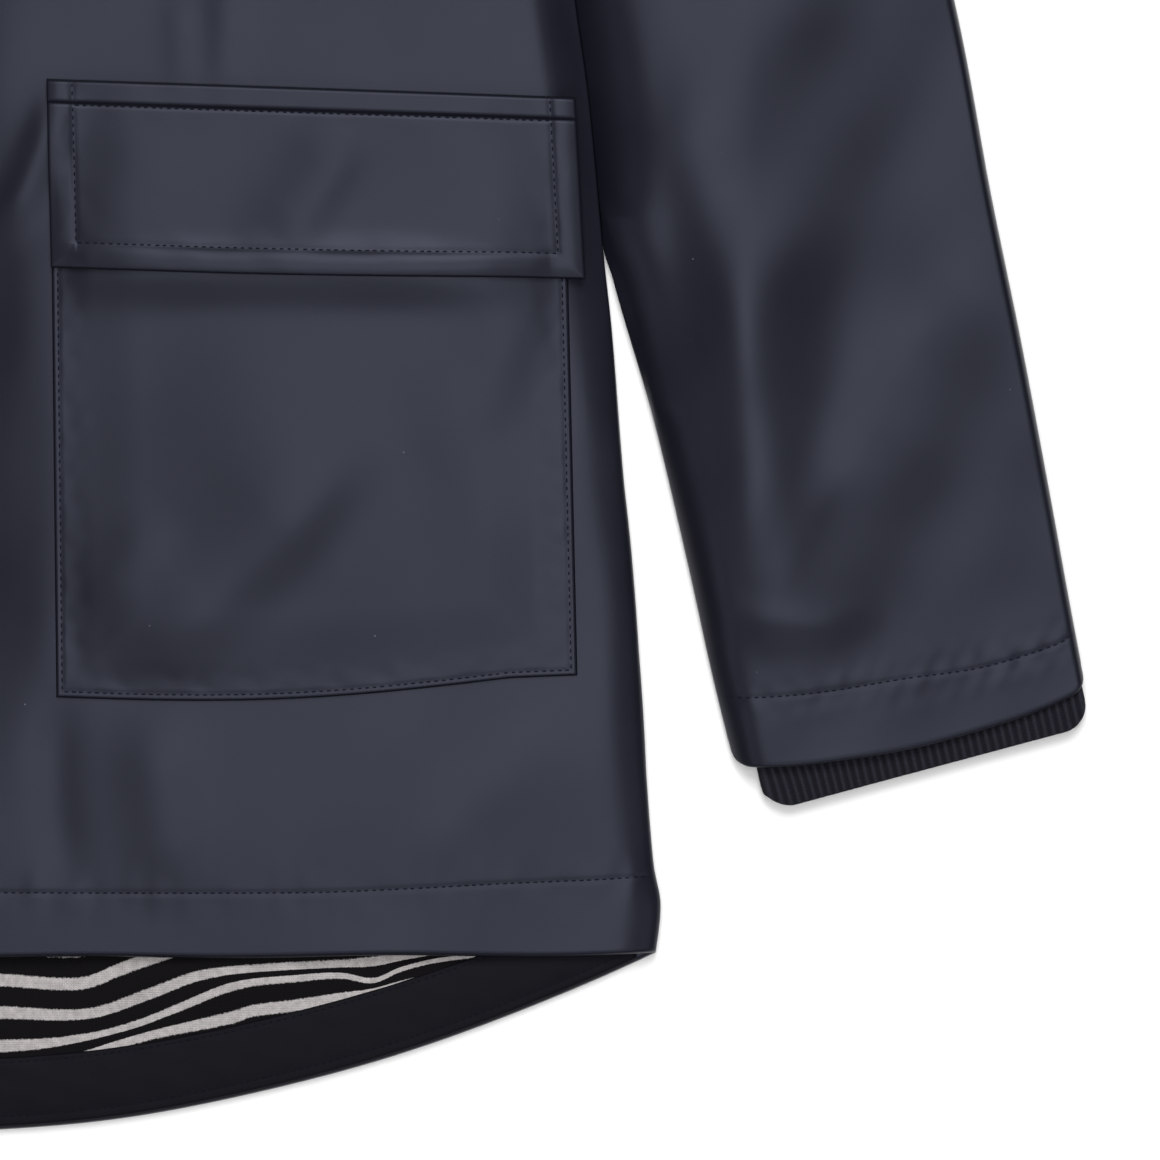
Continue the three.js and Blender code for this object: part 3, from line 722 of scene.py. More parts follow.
pocketFolds = {
    1: [
        (72, -166, 129, -112, 15, 2.0, 4, 30), (94, -160, 144, -118, 12, -0.8, 3),
        (60, -150, 78, -128, 8, 0.3), (120, -70, 150, -150, 30, 1.3), (172, -80, 187, -160, 19, -1.0),
        (52, -52, 180, -53, 9, 2.4), (190, -60, 172, -100, 9, 0.4),
    ],
    -1: [
        (80, -160, 146, -108, 9, 1.2, -4, 12), (98, -164, 152, -118, 8, -0.8),
        (176, -160, 190, -130, 7, 0.7), (58, -90, 66, -150, 15, 0.6), (130, -72, 120, -140, 24, 0.6),
        (60, -51, 186, -51, 12, 2.8),
    ],
}
flapFolds = {
    1: [
        (112, -44, 134, -12, 8, 0.9, 2, 12), (128, -40, 160, -18, 13, -0.6), (58, -38, 76, -12, 12, 0.35),
        (180, -44, 190, -10, 14, 0.3),
    ],
    -1: [
        (100, -44, 126, -14, 9, 1.0, -2, 12), (114, -44, 148, -14, 11, -0.6), (170, -42, 186, -12, 10, 0.7),
        (64, -40, 70, -12, 10, 0.5),
    ],
}


sagSkew = 1.15  # above 1, the lower edge sags most on the centre front's side


def patchPlace(patch, s, t):
    topX, topY = [mix(near, far, s) for near, far in zip(*patch["top"])]
    bottomX, bottomY = [mix(near, far, s) for near, far in zip(*patch["bottom"])]
    bottomY = bottomY + patch["sag"] * np.sin(math.pi * np.minimum(s * sagSkew, 1))
    return mix(bottomX, topX, t), mix(bottomY, topY, t)


def patchSize(patch):
    return patch["top"][1][0] - patch["top"][0][0], patch["top"][0][1] - patch["bottom"][0][1]


def pocketInward(s, t):
    width, length = patchSize(pocket)
    return np.minimum(np.minimum(s, 1 - s) * width, t * length)


def pocketHeight(x, y, s, t, side):
    inward = pocketInward(s, t)
    puff = pocket["puff"] * smooth(inward, *pocket["puffReach"])
    pull = waved(pocket["pucker"], x, y, 51 + side) * smooth(inward, 1, 4) * (1 - smooth(inward, 4, 14))
    under = frontHeight(x, y, side) + gap
    z = under + pocket["wall"] + puff + pull + foldHeight(pocketFolds[side], x, y) * smooth(inward, 1, 12)
    return np.maximum(z, under + 0.4)


def pocketSurface(x, y, s, t, side):
    inward = pocketInward(s, t)
    z = pocketHeight(x, y, s, t, side) - grooveDepth(inward - pocket["stitchIn"])
    return z - pocket["round"] * (1 - roundRise(inward, pocket["round"]))


def sewPatch(patch, side, surface, corners):
    # sews from corner to corner, each given in shares of the patch
    for (fromS, fromT), (toS, toT) in zip(corners, corners[1:]):
        s = np.linspace(fromS, toS, 260)
        t = np.linspace(fromT, toT, 260)
        x, y = patchPlace(patch, s, t)
        z = surface(x, y, s, t, side)
        key = x if abs(x[-1] - x[0]) > abs(y[-1] - y[0]) else y
        order = np.argsort(key)
        isAcross = key is x
        sewLine(side, x, y, lambda a, b: np.interp(a if isAcross else b, key[order], z[order]))


def makePocket(side, name):
    width, length = patchSize(pocket)
    s, t = np.meshgrid(fineShares(width, pocket["step"]), fineShares(length, pocket["step"], dense=(0,)))
    x, y = patchPlace(pocket, s, t)
    z = pocketSurface(x, y, s, t, side)
    piece = panelMesh("pocket_shell_" + name, side, x, y, z, pocket["rim"], coated, "coated_cloth")
    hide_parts("pocket_" + name)
    near, low = pocket["stitchIn"] / width, pocket["stitchIn"] / length
    top = pocket["stitchTop"]
    sewPatch(pocket, side, pocketSurface, [(near, top), (near, low), (1 - near, low), (1 - near, top)])


farOff = 99  # a distance from a stitch line at which nothing is left of its groove


def flapInward(s, t):
    width, length = patchSize(flap)
    return np.minimum(s, 1 - s) * width, t * length, (1 - t) * length


def flapSurface(x, y, s, t, side):
    fromSide, fromLow, fromTop = flapInward(s, t)
    spans = ((x, *pocket["spanX"]), (y, *pocket["spanY"]))
    pocketS, pocketT = [np.clip((at - start) / size, 0, 1) for at, start, size in spans]
    restX = np.minimum(x, sideHalf(y) - flap["flatFrom"])
    under = frontHeight(restX, y, side) + gap + pocket["wall"]
    under = np.maximum(under, pocketHeight(restX, y, pocketS, pocketT, side))
    lift = flap["lift"] * np.sin(math.pi * np.clip(s, 0, 1)) * (1 - smooth(t, -0.3, 0.8))
    z = under + gap + flap["wall"] + lift + foldHeight(flapFolds[side], x, y) * smooth(fromTop, 6, 14)
    toRidgeEnd = flap["ridgeDepth"] - fromTop
    ridge = np.minimum(roundRise(fromTop, flap["ridgeRound"]), roundRise(toRidgeEnd, flap["ridgeRound"]))
    seam, pucker, inset = flap["ridgeSeam"], flap["pucker"], flap["stitchIn"]
    ridge = flap["ridgeHeight"] * np.where(toRidgeEnd > 0, ridge, 0)
    z = z + ridge - seam["depth"] * bell(toRidgeEnd, seam["width"])
    nearest = np.where(fromLow > inset, np.abs(fromSide - inset), farOff)
    for away in (fromLow, fromTop):
        nearest = np.minimum(nearest, np.where(fromSide > inset, np.abs(away - inset), farOff))
    z = z - grooveDepth(nearest) * 1.1
    toStitch = np.clip(1 - np.minimum(fromSide, fromLow) / inset, 0, 1)
    puff = flap["sidePuff"] * np.sin(math.pi * toStitch) - flap["rimDrop"] * toStitch**1.5
    edge = np.minimum(np.minimum(fromSide, fromLow), fromTop)
    pull = waved(pucker, x, y, 61 + side) * bell(nearest, pucker["reach"])
    return z + puff + pull - flap["round"] * (1 - roundRise(edge, flap["round"]))


def makeFlap(side, name):
    width, length = patchSize(flap)
    near, low = flap["stitchIn"] / width, flap["stitchIn"] / length
    sShares = fineShares(width, flap["step"], dense=(0, near, 1 - near, 1), reach=3)
    tShares = fineShares(length, flap["step"], dense=(0, low, 1 - low, 1), reach=3)
    s, t = np.meshgrid(sShares, tShares)
    x, y = patchPlace(flap, s, t)
    z = flapSurface(x, y, s, t, side)
    piece = panelMesh("flap_shell_" + name, side, x, y, z, flap["rim"], coated, "coated_cloth")
    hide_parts("pocket_flap_" + name)
    sewPatch(flap, side, flapSurface, [(near, 0.99), (near, low), (1 - near, low), (1 - near, 0.99)])
    sewPatch(flap, side, flapSurface, [(near, 1 - low), (1 - near, 1 - low)])


for side, name in sides:
    makePocket(side, name)
    makeFlap(side, name)
print("pockets made")


# Sleeves, each an open tube that lies flat, its hem turned in

sleeve = {
    "stations": [
        (193, 112, 178.5, 245), (196.5, 88, 222, 224), (200, 58, 262, 182), (204, 25, 296, 112),
        (208.5, -10, 316.5, 30), (212, -46, 327.5, -28), (226, -96, 336.5, -72), (236, -138, 345, -117),
        (243.5, -172, 351, -150), (250, -198.7, 355.8, -175.3),
    ],  # inner X and Y, outer X and Y
    "length": 290,
    "width": 108,
    "bodyClearance": 0.1,
    "touchY": (-54, -42),  # free of the body below the first, against it above the second
    "middle": 3,
    "puff": 4.8,
    "puffReach": 34,
    "outerReach": 104,
    "innerRound": 36,
    "innerEdgeRound": 23,
    "innerEdgeShare": 0.85,
    "stripShare": 0.35,
    "uneven": {"height": 0.35, "size": 52},
    "hemRound": 12,
    "outerRound": 2.4,
    "underRound": 5,
    "hemWave": {"height": 0.4, "size": 34},
    "pucker": {"height": 0.12, "size": 8, "reach": 7},
    "seam": {"depth": 1.3, "width": 1.6},
    "hemBow": 7.5,
    "bowReach": 60,
    "corner": {"cut": 3.6, "width": 5, "reach": 8},
    "wall": 2.2,
    "turnedBack": (3, 9, 16),
    "rows": 230,
    "step": 1.5,
    "underPoints": 26,
    "hemStitch": [(0, 20.5), (0.12, 20.6), (0.3, 20.3), (0.5, 20.2), (0.7, 17.5), (0.85, 16.4), (1, 15.2)],
    "underarmStrip": [(-100, 0), (-92, 1), (-72, 3), (-61, 3.5), (-46, 2.6), (-30, 0)],
}
sleeveFolds = {
    1: [
        (257, 50, 257, -84, 20, 2.0, 0, 36), (255, -56, 257, -152, 12, 2.4, 0, 16),
        (313, -68, 287, -116, 14, 1.8, 3, 30), (287, -108, 260, -164, 12, 1.4, 2, 28),
        (328, -40, 302, -92, 14, 0.5), (287, -50, 276, -108, 13, -0.5), (248, 72, 262, 150, 16, 1.7),
        (300, 40, 246, 190, 15, 1.5, 8), (244, 20, 232, -24, 11, 0.4), (230, -24, 236, -92, 10, -1.3),
        (250, -156, 288, -157, 6, 0.9, 2), (316, -10, 330, -60, 14, 0.4), (226, 60, 220, 130, 12, 1.0, 4),
        (334, -100, 326, -150, 14, 0.4),
    ],
    -1: [
        (258, 36, 262, -56, 12, 2.1, 0, 17), (262, -50, 258, -146, 10, 2.4, 0, 13),
        (318, -50, 286, -112, 12, 1.9, 3, 17), (286, -108, 266, -156, 9, 1.8, 2, 13),
        (334, -88, 306, -112, 10, 1.2), (284, -10, 280, -110, 13, -2.0), (248, 52, 258, 158, 16, 1.6),
        (304, 28, 250, 182, 15, 1.5, -6), (242, 20, 234, -24, 10, 1.4), (238, -32, 242, -90, 9, -2.0),
        (254, -160, 296, -158, 5, 0.8, 2), (280, 80, 302, 24, 10, -1.0), (222, 70, 218, 136, 12, 1.0, -4),
        (334, -120, 322, -158, 9, 0.8),
    ],
}


def sleeveStation(t):
    place = np.linspace(0, 1, len(sleeve["stations"]))
    columns = np.array(sleeve["stations"], float).T
    innerX, innerY, outerX, outerY = [curveThrough(list(zip(place, column)), t) for column in columns]
    beside = sideHalf(innerY) + sleeve["bodyClearance"]
    innerX = mix(np.maximum(innerX, beside), beside, smooth(innerY, *sleeve["touchY"]))
    return innerX, innerY, outerX, outerY


hemInnerX, hemInnerY, hemOuterX, hemOuterY = [float(v) for v in sleeveStation(np.array(1.0))]
hemLength = math.hypot(hemOuterX - hemInnerX, hemOuterY - hemInnerY)
hemAlong = np.array([hemOuterX - hemInnerX, hemOuterY - hemInnerY]) / hemLength
hemPast = np.array([hemAlong[1], -hemAlong[0]])


def pastHem(x, y):
    return (x - hemInnerX) * hemPast[0] + (y - hemInnerY) * hemPast[1]


def sleevePlace(t, s):
    corner = sleeve["corner"]
    innerX, innerY, outerX, outerY = sleeveStation(t)
    x, y = mix(innerX, outerX, s), mix(innerY, outerY, s)
    x = x + (sideHalf(y) + sleeve["bodyClearance"] - x) * (1 - smooth(t, 0, 0.05))
    arch = np.sin(math.pi * np.clip(s, 0, 1))
    bow = sleeve["hemBow"] * arch**0.6
    wave = waved(sleeve["hemWave"], s * hemLength, s * 0, 78) * arch
    push = (bow + wave) * smooth(pastHem(x, y), -sleeve["bowReach"], 0)
    fromCorner = np.clip(np.minimum(s, 1 - s), 0, 1) * hemLength
    cut = corner["cut"] * (1 - roundRise(fromCorner, corner["width"]))
    push = push - cut * smooth(pastHem(x, y), -corner["reach"], 0)
    return x + push * hemPast[0], y + push * hemPast[1]


def sleeveWidth(t):
    innerX, innerY, outerX, outerY = sleeveStation(t)
    return np.hypot(outerX - innerX, outerY - innerY)


def sleeveSurface(t, s, side, inset=0.0):
    # the top of the sleeve, or of the layer that lies inset below it
    pucker, seam = sleeve["pucker"], sleeve["seam"]
    width = sleeveWidth(t)
    x, y = sleevePlace(t, s)
    innerRound = mix(sleeve["innerRound"], sleeve["hemRound"], smooth(t, 0.45, 0.8))
    edgeRound = mix(sleeve["innerEdgeRound"], sleeve["hemRound"], smooth(t, 0.4, 0.8))
    strip = np.where(y < 0, curveThrough(sleeve["underarmStrip"], y), 0)
    fromInner = np.maximum(s * width - strip, 0)
    edgeRise = 1 - np.clip(1 - fromInner / edgeRound, 0, 1) ** 3
    innerRise = mix(roundRise(fromInner, innerRound), edgeRise, sleeve["innerEdgeShare"])
    overStrip = np.clip(s * width / np.maximum(strip, 0.1), 0, 1)
    stripRise = sleeve["stripShare"] * np.clip(strip, 0, 1) * overStrip
    innerRise = mix(stripRise, 1, innerRise)
    rise = np.minimum(innerRise, roundRise((1 - s) * width, sleeve["outerRound"]))
    uneven = waved(sleeve["uneven"], x, y, 71 + side)
    puffShare = (0.35 + 0.65 * smooth(t, 0, 0.25)) * (1 - 0.6 * smooth(t, 0.6, 1))
    puff = sleeve["puff"] * puffShare * smooth(fromInner, -30, sleeve["puffReach"])
    puff = puff * smooth((1 - s) * width, 0, sleeve["outerReach"])
    full = body["top"] + puff + foldHeight(sleeveFolds[side], x, y) + uneven - inset
    z = mix(sleeve["middle"], full, rise)
    fromStitch = sleeveFromHem(t, s) - curveThrough(sleeve["hemStitch"], s)
    pull = waved(pucker, x, y, 81 + side) * bell(fromStitch, pucker["reach"])
    z = z + (pull - grooveDepth(fromStitch)) * rise
    return x, y, z - seam["depth"] * bell(t * sleeve["length"], seam["width"]) * rise


def sleeveFromHem(t, s):
    x, y = sleevePlace(t, s)
    endX, endY = sleevePlace(np.ones_like(t), s)
    return np.hypot(endX - x, endY - y)


def sleeveRing(t, side, across, inset=0.0, past=0.0):
    # once round the sleeve: across its top, then back across its underside
    width = float(sleeveWidth(np.array(t)))
    squeeze = inset / width
    s = np.concatenate([across, np.linspace(1, 0, sleeve["underPoints"])[1:-1]])
    x, y, z = sleeveSurface(np.full_like(s, t), mix(squeeze, 1 - squeeze, s), side, inset)
    rise = roundRise(np.minimum(s, 1 - s) * width, sleeve["underRound"])
    zUnder = sleeve["middle"] * (1 - rise) + inset * rise
    z = np.where(np.arange(len(s)) < len(across), np.maximum(z, sleeve["middle"]), zUnder)
    return np.stack([x + past * hemPast[0], y + past * hemPast[1], z], -1)


def makeSleeve(side, name):
    across = fineShares(sleeve["width"], sleeve["step"], reach=6, fine=0.7)
    stations = np.unique(np.concatenate([
        np.linspace(0, 1, sleeve["rows"]), np.linspace(0, 0.02, 10), np.linspace(0.9, 0.97, 60),
    ]))
    rings = [sleeveRing(t, side, across) for t in stations]
    half = sleeve["wall"] / 2
    for angle in np.linspace(0, math.pi, 8)[1:]:
        inset, past = half * (1 - math.cos(angle)), half * 0.9 * math.sin(angle)
        rings.append(sleeveRing(1.0, side, across, inset, past))
    for depth in sleeve["turnedBack"]:
        rings.append(sleeveRing(1.0, side, across, sleeve["wall"], -depth))
    piece = ringsMesh("sleeve_shell_" + name, side, rings, coated, "coated_cloth")
    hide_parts("sleeve_" + name)
    t, s = np.meshgrid(np.linspace(0, 1, 60), np.linspace(0, 1, 20), indexing="ij")
    x, y = sleevePlace(t, s)
    innerX, innerY, outerX, outerY = sleeveStation(t[:, 0])
    wide = float(sleeveWidth(t[:, 0]).max()) * 2
    sewSleeveHem(side)


def sewSleeveHem(side):
    s = np.linspace(0.03, 0.985, 300)
    wanted = curveThrough(sleeve["hemStitch"], s)
    lowT, highT = np.full_like(s, 0.8), np.ones_like(s)  # the stitches lie between these shares
    for _ in range(30):
        middleT = (lowT + highT) / 2
        isFar = sleeveFromHem(middleT, s) > wanted
        lowT = np.where(isFar, middleT, lowT)
        highT = np.where(isFar, highT, middleT)
    x, y, z = sleeveSurface(lowT, s, side)
    sewLine(side, x, y, lambda a, b: np.interp(a, x, z))


for side, name in sides:
    makeSleeve(side, name)
print("sleeves made")


# Ribbed cuffs inside the sleeves' hems

cuff = {
    "ribs": 80,
    "start": 6.4,
    "end": 107.2,
    "edgeNear": 17.8,
    "edgeFar": 13.3,
    "corner": 8,
    "lean": {"shift": 1.6, "across": (8, 42), "share": (0.4, 1), "round": 9},
    "inside": -20,
    "middle": 4.35,
    "depth": 1.75,
    "ribDepth": 1.0,
    "ribPower": 0.7,
    "wall": 1.3,
    "endRound": 3.4,
    "pointsPerRib": 8,
    "rows": 22,
    "returnShare": 0.6,
}


def cuffEdge(across):
    share = (across - cuff["start"]) / (cuff["end"] - cuff["start"])
    fromEnd = np.minimum(across - cuff["start"], cuff["end"] - across)
    drop = cuff["corner"] * (1 - roundRise(fromEnd, cuff["corner"]))
    return mix(cuff["edgeNear"], cuff["edgeFar"], share) - drop


def ribCrests():
    # 0 in each groove and 1 on each rib, once round the cuff
    k = np.arange(cuff["ribs"] * cuff["pointsPerRib"])
    return 0.5 - 0.5 * np.cos(k / cuff["pointsPerRib"] * 2 * math.pi)


def cuffRing(share, inset):
    # share runs from inside the sleeve, 0, to the cuff's own edge, 1
    lean = cuff["lean"]
    around = cuff["ribs"] * cuff["pointsPerRib"]
    k = np.arange(around)
    isTop = k <= around / 2
    half = np.where(isTop, k / (around / 2), (around - k) / (around / 2))
    across = mix(cuff["start"] + inset * 0.6, cuff["end"] - inset * 0.6, half)
    fromEnd = np.minimum(half, 1 - half) * (cuff["end"] - cuff["start"])
    rise = roundRise(fromEnd, cuff["endRound"])
    rib = cuff["ribDepth"] * rise * ribCrests() ** cuff["ribPower"]
    depth = (cuff["depth"] - inset) * rise
    z = cuff["middle"] + np.where(isTop, 1, -1) * (depth - cuff["ribDepth"] * rise + rib)
    edge = cuffEdge(np.clip(across, cuff["start"], cuff["end"]))
    reach = mix(cuff["inside"], edge, share)
    shift = lean["shift"] * (1 - smooth(across, *lean["across"])) * smooth(share, *lean["share"])
    across = across + shift * roundRise(fromEnd, lean["round"])
    x = hemInnerX + across * hemAlong[0] + reach * hemPast[0]
    y = hemInnerY + across * hemAlong[1] + reach * hemPast[1]
    return np.stack([x, y, z], -1)


def makeCuff(side, name):
    rings = [cuffRing(share, 0) for share in np.linspace(0, 0.94, cuff["rows"])]
    for angle in np.linspace(0.2, math.pi, 8):
        inset = cuff["wall"] / 2 * (1 - math.cos(angle))
        rings.append(cuffRing(0.955 + 0.04 * math.sin(angle), inset))
    rings.append(cuffRing(cuff["returnShare"], cuff["wall"]))
    # the U carries the rib crests, along which the knit's colour darkens into the grooves as painted shade
    crest = ribCrests()
    uv = np.tile(np.stack([crest, 0 * crest], -1), (len(rings), 1))
    piece = ringsMesh("cuff_shell_" + name, side, rings, ribKnit, "rib_knit", uv)
    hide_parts("cuff_" + name)


for side, name in sides:
    makeCuff(side, name)
print("cuffs made")


# The back, its turned hem facing, and the striped lining above it

back = {
    "length": 560,
    "width": 226,
    "stepAcross": 2.6,
    "stepAlong": 3.4,
    "round": 1.5,
    "drop": 1.4,
    "hemWave": {"height": 0.5, "size": 80},
    "rim": [(0.15, 0.5), (0.05, 1.0), (-0.5, 1.4), (-1.2, 1.57)],
}
facing = {
    "inset": 0.8,
    "depth": 21.7,
    "end": 221,
    "step": 1.4,
    "wall": 1.1,
    "bulge": 0.5,
    "lowStitch": 3.9,
    "highStitchIn": 1.6,
    "pucker": {"height": 0.12, "size": 9},
    "rim": [(0.05, 0.2), (0, 0.5), (-0.3, 0.8)],
}
lining = {
    "end": 200,
    "tuck": 36,
    "overlap": 2.5,
    "step": 1.5,
    "bulge": 1.1,
    "swell": {"height": 0.6, "size": 78},
    "uneven": {"height": 0.4, "size": 26},
    "crease": {"height": 0.9, "above": 4, "width": 2.6},
    "stripePitch": 9.9,
    "neckInset": 14,
    "neckDepth": 31,
}
stripeLines = [
    # where each pale stripe runs, in millimetres: (X, Y) points
    [(0, -264.5), (30, -265), (54, -266), (66, -261.5), (76, -258), (90, -254), (205, -246)],
    [(0, -274.2), (30, -274.6), (57, -275.2), (75, -269.2), (90, -263.8), (111, -261.7), (135, -260.5),
     (150, -258.5), (205, -250)],
    [(0, -284.5), (30, -284.8), (48, -283.6), (69, -279.1), (84, -273.1), (100, -266.2), (120, -263.8),
     (132, -263.2), (142, -265.4), (150, -261.7), (162, -258.6), (205, -254)],
    [(0, -294.5), (30, -294.6), (72, -281.8), (100, -276.1), (105, -274.3), (120, -272.2), (135, -269.5),
     (160, -264), (205, -258)],
]


def tailWave(x):
    return waved(back["hemWave"], x, x * 0, 91)


def tailEdge(x):
    return tailLine(np.clip(np.abs(x) / body["hemHalf"], 0, 1)) + tailWave(x)


def stripePhase(x, y):
    lines = np.array([curveThrough(rows, np.abs(x + 4 * np.sin(x / 60) * (x < 0))) for rows in stripeLines])
    pitch, last = lining["stripePitch"], len(lines) - 1
    phase = -(y - lines[0]) / pitch
    for n in range(last):
        isHere = (y <= lines[n]) & (y > lines[n + 1])
        share = (lines[n] - y) / np.maximum(lines[n] - lines[n + 1], 0.5)
        phase = np.where(isHere, n + share, phase)
    return np.where(y <= lines[last], last + (lines[last] - y) / pitch, phase)


def makeBack():
    width, length = back["width"], back["length"]
    half = fineShares(width, back["stepAcross"], dense=(1,))
    u, v = np.meshgrid(np.concatenate([-half[::-1], half[1:]]), fineShares(length, back["stepAlong"]))
    x, y = panelPlace(np.abs(u), v, tailLine, body["backNeckY"])
    x = np.sign(u) * x
    y = y + tailWave(x) * (1 - smooth(v, 0, 0.05))
    fromEdge = np.minimum(np.minimum((1 - np.abs(u)) * width, v * length), (1 - v) * length)
    z = body["backWall"] - back["drop"] * (1 - roundRise(fromEdge, back["round"]))
    piece = panelMesh("back_shell", 1, x, y, z, back["rim"], coated, "coated_cloth")
    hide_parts("back")


def bandGrid(step, low, high, endX):
    # points between two lines across the coat, and how far up from the low one they lie
    xLine = np.linspace(-endX, endX, int(2 * endX / step))
    x, t = np.meshgrid(xLine, fineShares(abs(high(0) - low(0)), 1.0, reach=3))
    return x, mix(low(x), high(x), t), t


facingStitches = (facing["lowStitch"], facing["depth"] - facing["highStitchIn"])


def facingSurface(x, y):
    fromLow = y - tailEdge(x)
    bulge = facing["bulge"] * np.sin(math.pi * np.clip((fromLow - 2) / 20, 0, 1))
    z = body["backWall"] + gap + facing["wall"] + bulge
    for stitchAt in facingStitches:
        z = z - grooveDepth(fromLow - stitchAt)
    edge = np.minimum(fromLow - facing["inset"], facing["depth"] - fromLow)
    drop = 1 - roundRise(np.maximum(edge, 0), facing["wall"])
    return z + waved(facing["pucker"], x, y, 95) - drop


def makeFacing():
    def low(x):
        return tailEdge(x) + facing["inset"]

    def high(x):
        return tailEdge(x) + facing["depth"]

    x, y, _ = bandGrid(facing["step"], low, high, facing["end"])
    z = facingSurface(x, y)
    # the facing takes the facing cloth, whose darker colour is painted shade
    piece = panelMesh("facing_shell", 1, x, y, z, facing["rim"], facingCloth, "coated_cloth")
    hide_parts("back_hem_facing")
    lineX = np.linspace(0, facing["end"] - 4, 400)
    for inset in facingStitches:
        for side, _ in sides:
            sewLine(side, lineX, tailEdge(lineX * side) + inset, lambda a, b, d=side: facingSurface(a * d, b))


def makeTailLining():
    def low(x):
        return tailEdge(x) + facing["depth"] - lining["overlap"]

    def high(x):
        return np.maximum(body["hemY"] + lining["tuck"], low(x) + 6)

    x, y, t = bandGrid(lining["step"], low, high, lining["end"])
    z = body["backWall"] + gap + 0.5
    crease, swell = lining["crease"], lining["swell"]
    bulge = lining["bulge"] + swell["height"] * np.sin(x / swell["size"] * 2 * math.pi + 2 * t)
    bulge = bulge + waved(lining["uneven"], x, y, 97)
    z = z + bulge * smooth(t, 0, 0.3) * (1 - 0.5 * smooth(t, 0.6, 1))
    fromCrease = y - curveThrough(stripeLines[1], np.abs(x)) - crease["above"]
    z = z + crease["height"] * bell(fromCrease, crease["width"]) * smooth(np.abs(x), 50, 70)
    uv = np.stack([x / 100, stripePhase(x, y)], -1)
    piece = panelMesh("lining_tail_shell", 1, x, y, z, [(0, 0.4)], striped, "striped_lining", uv)
    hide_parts("lining_tail")


def makeNeckLining():
    def low(x):
        return neckLine(np.abs(x), body["backNeckY"]) - lining["neckDepth"]

    def high(x):
        return neckLine(np.abs(x), body["backNeckY"]) - 1

    x, y, _ = bandGrid(lining["step"], low, high, body["neckHalf"] - lining["neckInset"])
    z = body["backWall"] + gap + 1.1 + 0.25 * ripple(x, y, 24, 99)
    uv = np.stack([x / 100, y / lining["stripePitch"]], -1)
    piece = panelMesh("lining_neck_shell", 1, x, y, z, [(0, 0.5)], striped, "striped_lining", uv)
    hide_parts("lining_neck")


makeBack()
makeFacing()
makeTailLining()
makeNeckLining()
print("back and lining made")


# The placket over the centre front, and its press studs

placket = {
    "length": 482,
    "half": 17.5,
    "endInset": (0.5, 1),  # from the hem, and from the neck's edge
    "wall": 1.6,
    "round": 1.3,
    "stitchIn": 2.0,
    "hemStitchIn": 19,
    "studDent": {"depth": 0.5, "width": 2.2},
    "step": 1.5,
    "rim": [(0.1, 0.35), (0.1, 1.0), (-0.2, 1.7)],
}
studs = {
    "count": 6,
    "firstY": -224,
    "lastY": 206,
    "radius": 6.2,
    "sides": 48,
    "profile": [
        (0, 1.35), (0.3, 1.4), (0.55, 1.6), (0.7, 1.85), (0.82, 1.9), (0.92, 1.65), (0.98, 1.1), (1, 0.6),
        (0.96, 0),
    ],  # share of the radius, and height
}


studPlaces = np.linspace(studs["firstY"], studs["lastY"], studs["count"])


def placketSurface(x, y):
    dent = placket["studDent"]
    hemInset, neckInset = placket["endInset"]
    under = np.where(x >= 0, frontHeight(np.abs(x), y, 1), frontHeight(np.abs(x), y, -1))
    atMiddle = (frontHeight(x * 0, y, 1) + frontHeight(x * 0, y, -1)) / 2
    under = mix(atMiddle, under, smooth(np.abs(x), 0, 16))
    fromSide = np.maximum(placket["half"] - np.abs(x), 0)
    fromHem = np.maximum(y - body["hemY"] - hemInset, 0)
    fromNeck = np.maximum(neckLine(np.abs(x), body["frontNeckY"]) - neckInset - y, 0)
    edge = np.minimum(fromSide, np.minimum(fromHem, fromNeck))
    z = under + gap + placket["wall"] + 0.3 * smooth(fromSide, 2, 8) + 0.1 * ripple(x, y, 16, 111)
    z = z - grooveDepth(fromSide - placket["stitchIn"]) - grooveDepth(fromHem - placket["hemStitchIn"])
    for studY in studPlaces:
        z = z - dent["depth"] * bell(np.hypot(x, y - studY) - studs["radius"], dent["width"])
    return z - placket["round"] * (1 - roundRise(edge, placket["round"]))


def makePlacket():
    half, length, hemStitch = placket["half"], placket["length"], placket["hemStitchIn"]
    hemInset, neckInset = placket["endInset"]
    tShares = fineShares(length, placket["step"], dense=(0, hemStitch / length, 1))
    s, t = np.meshgrid(fineShares(2 * half, 1.2), tShares)
    x = mix(-half, half, s)
    y = mix(body["hemY"] + hemInset, neckLine(np.abs(x), body["frontNeckY"]) - neckInset, t)
    z = placketSurface(x, y)
    piece = panelMesh("placket_shell", 1, x, y, z, placket["rim"], coated, "coated_cloth")
    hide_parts("placket")
    sideY = np.linspace(body["hemY"] + 2, body["frontNeckY"] - 2, 500)
    sideX = np.full_like(sideY, half - placket["stitchIn"])
    hemX = np.linspace(0.5, half - 1, 20)
    hemY = np.full_like(hemX, body["hemY"] + hemInset + hemStitch)
    for side, _ in sides:
        for lineX, lineY in ((sideX, sideY), (hemX, hemY)):
            sewLine(side, lineX, lineY, lambda a, b, d=side: placketSurface(a * d, b))


def makeStud(number, y):
    rest = float(placketSurface(np.array([0.0]), np.array([y]))[0]) - 0.1
    angles = np.arange(studs["sides"]) / studs["sides"] * 2 * math.pi
    rings = []
    for share, height in studs["profile"][::-1]:
        radius = max(share, 0.004) * studs["radius"]
        z = rest + height + 0 * angles
        rings.append(np.stack([radius * np.cos(angles), y + radius * np.sin(angles), z], -1))
    piece = ringsMesh("press_stud_cap_" + str(number), 1, rings, studPaint, "press_stud")
    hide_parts("press_stud_" + str(number))


makePlacket()
for n, y in enumerate(studPlaces):
    makeStud(n + 1, float(y))
print("placket made")


# A plain stand collar: its back lies low, and its front lies over it

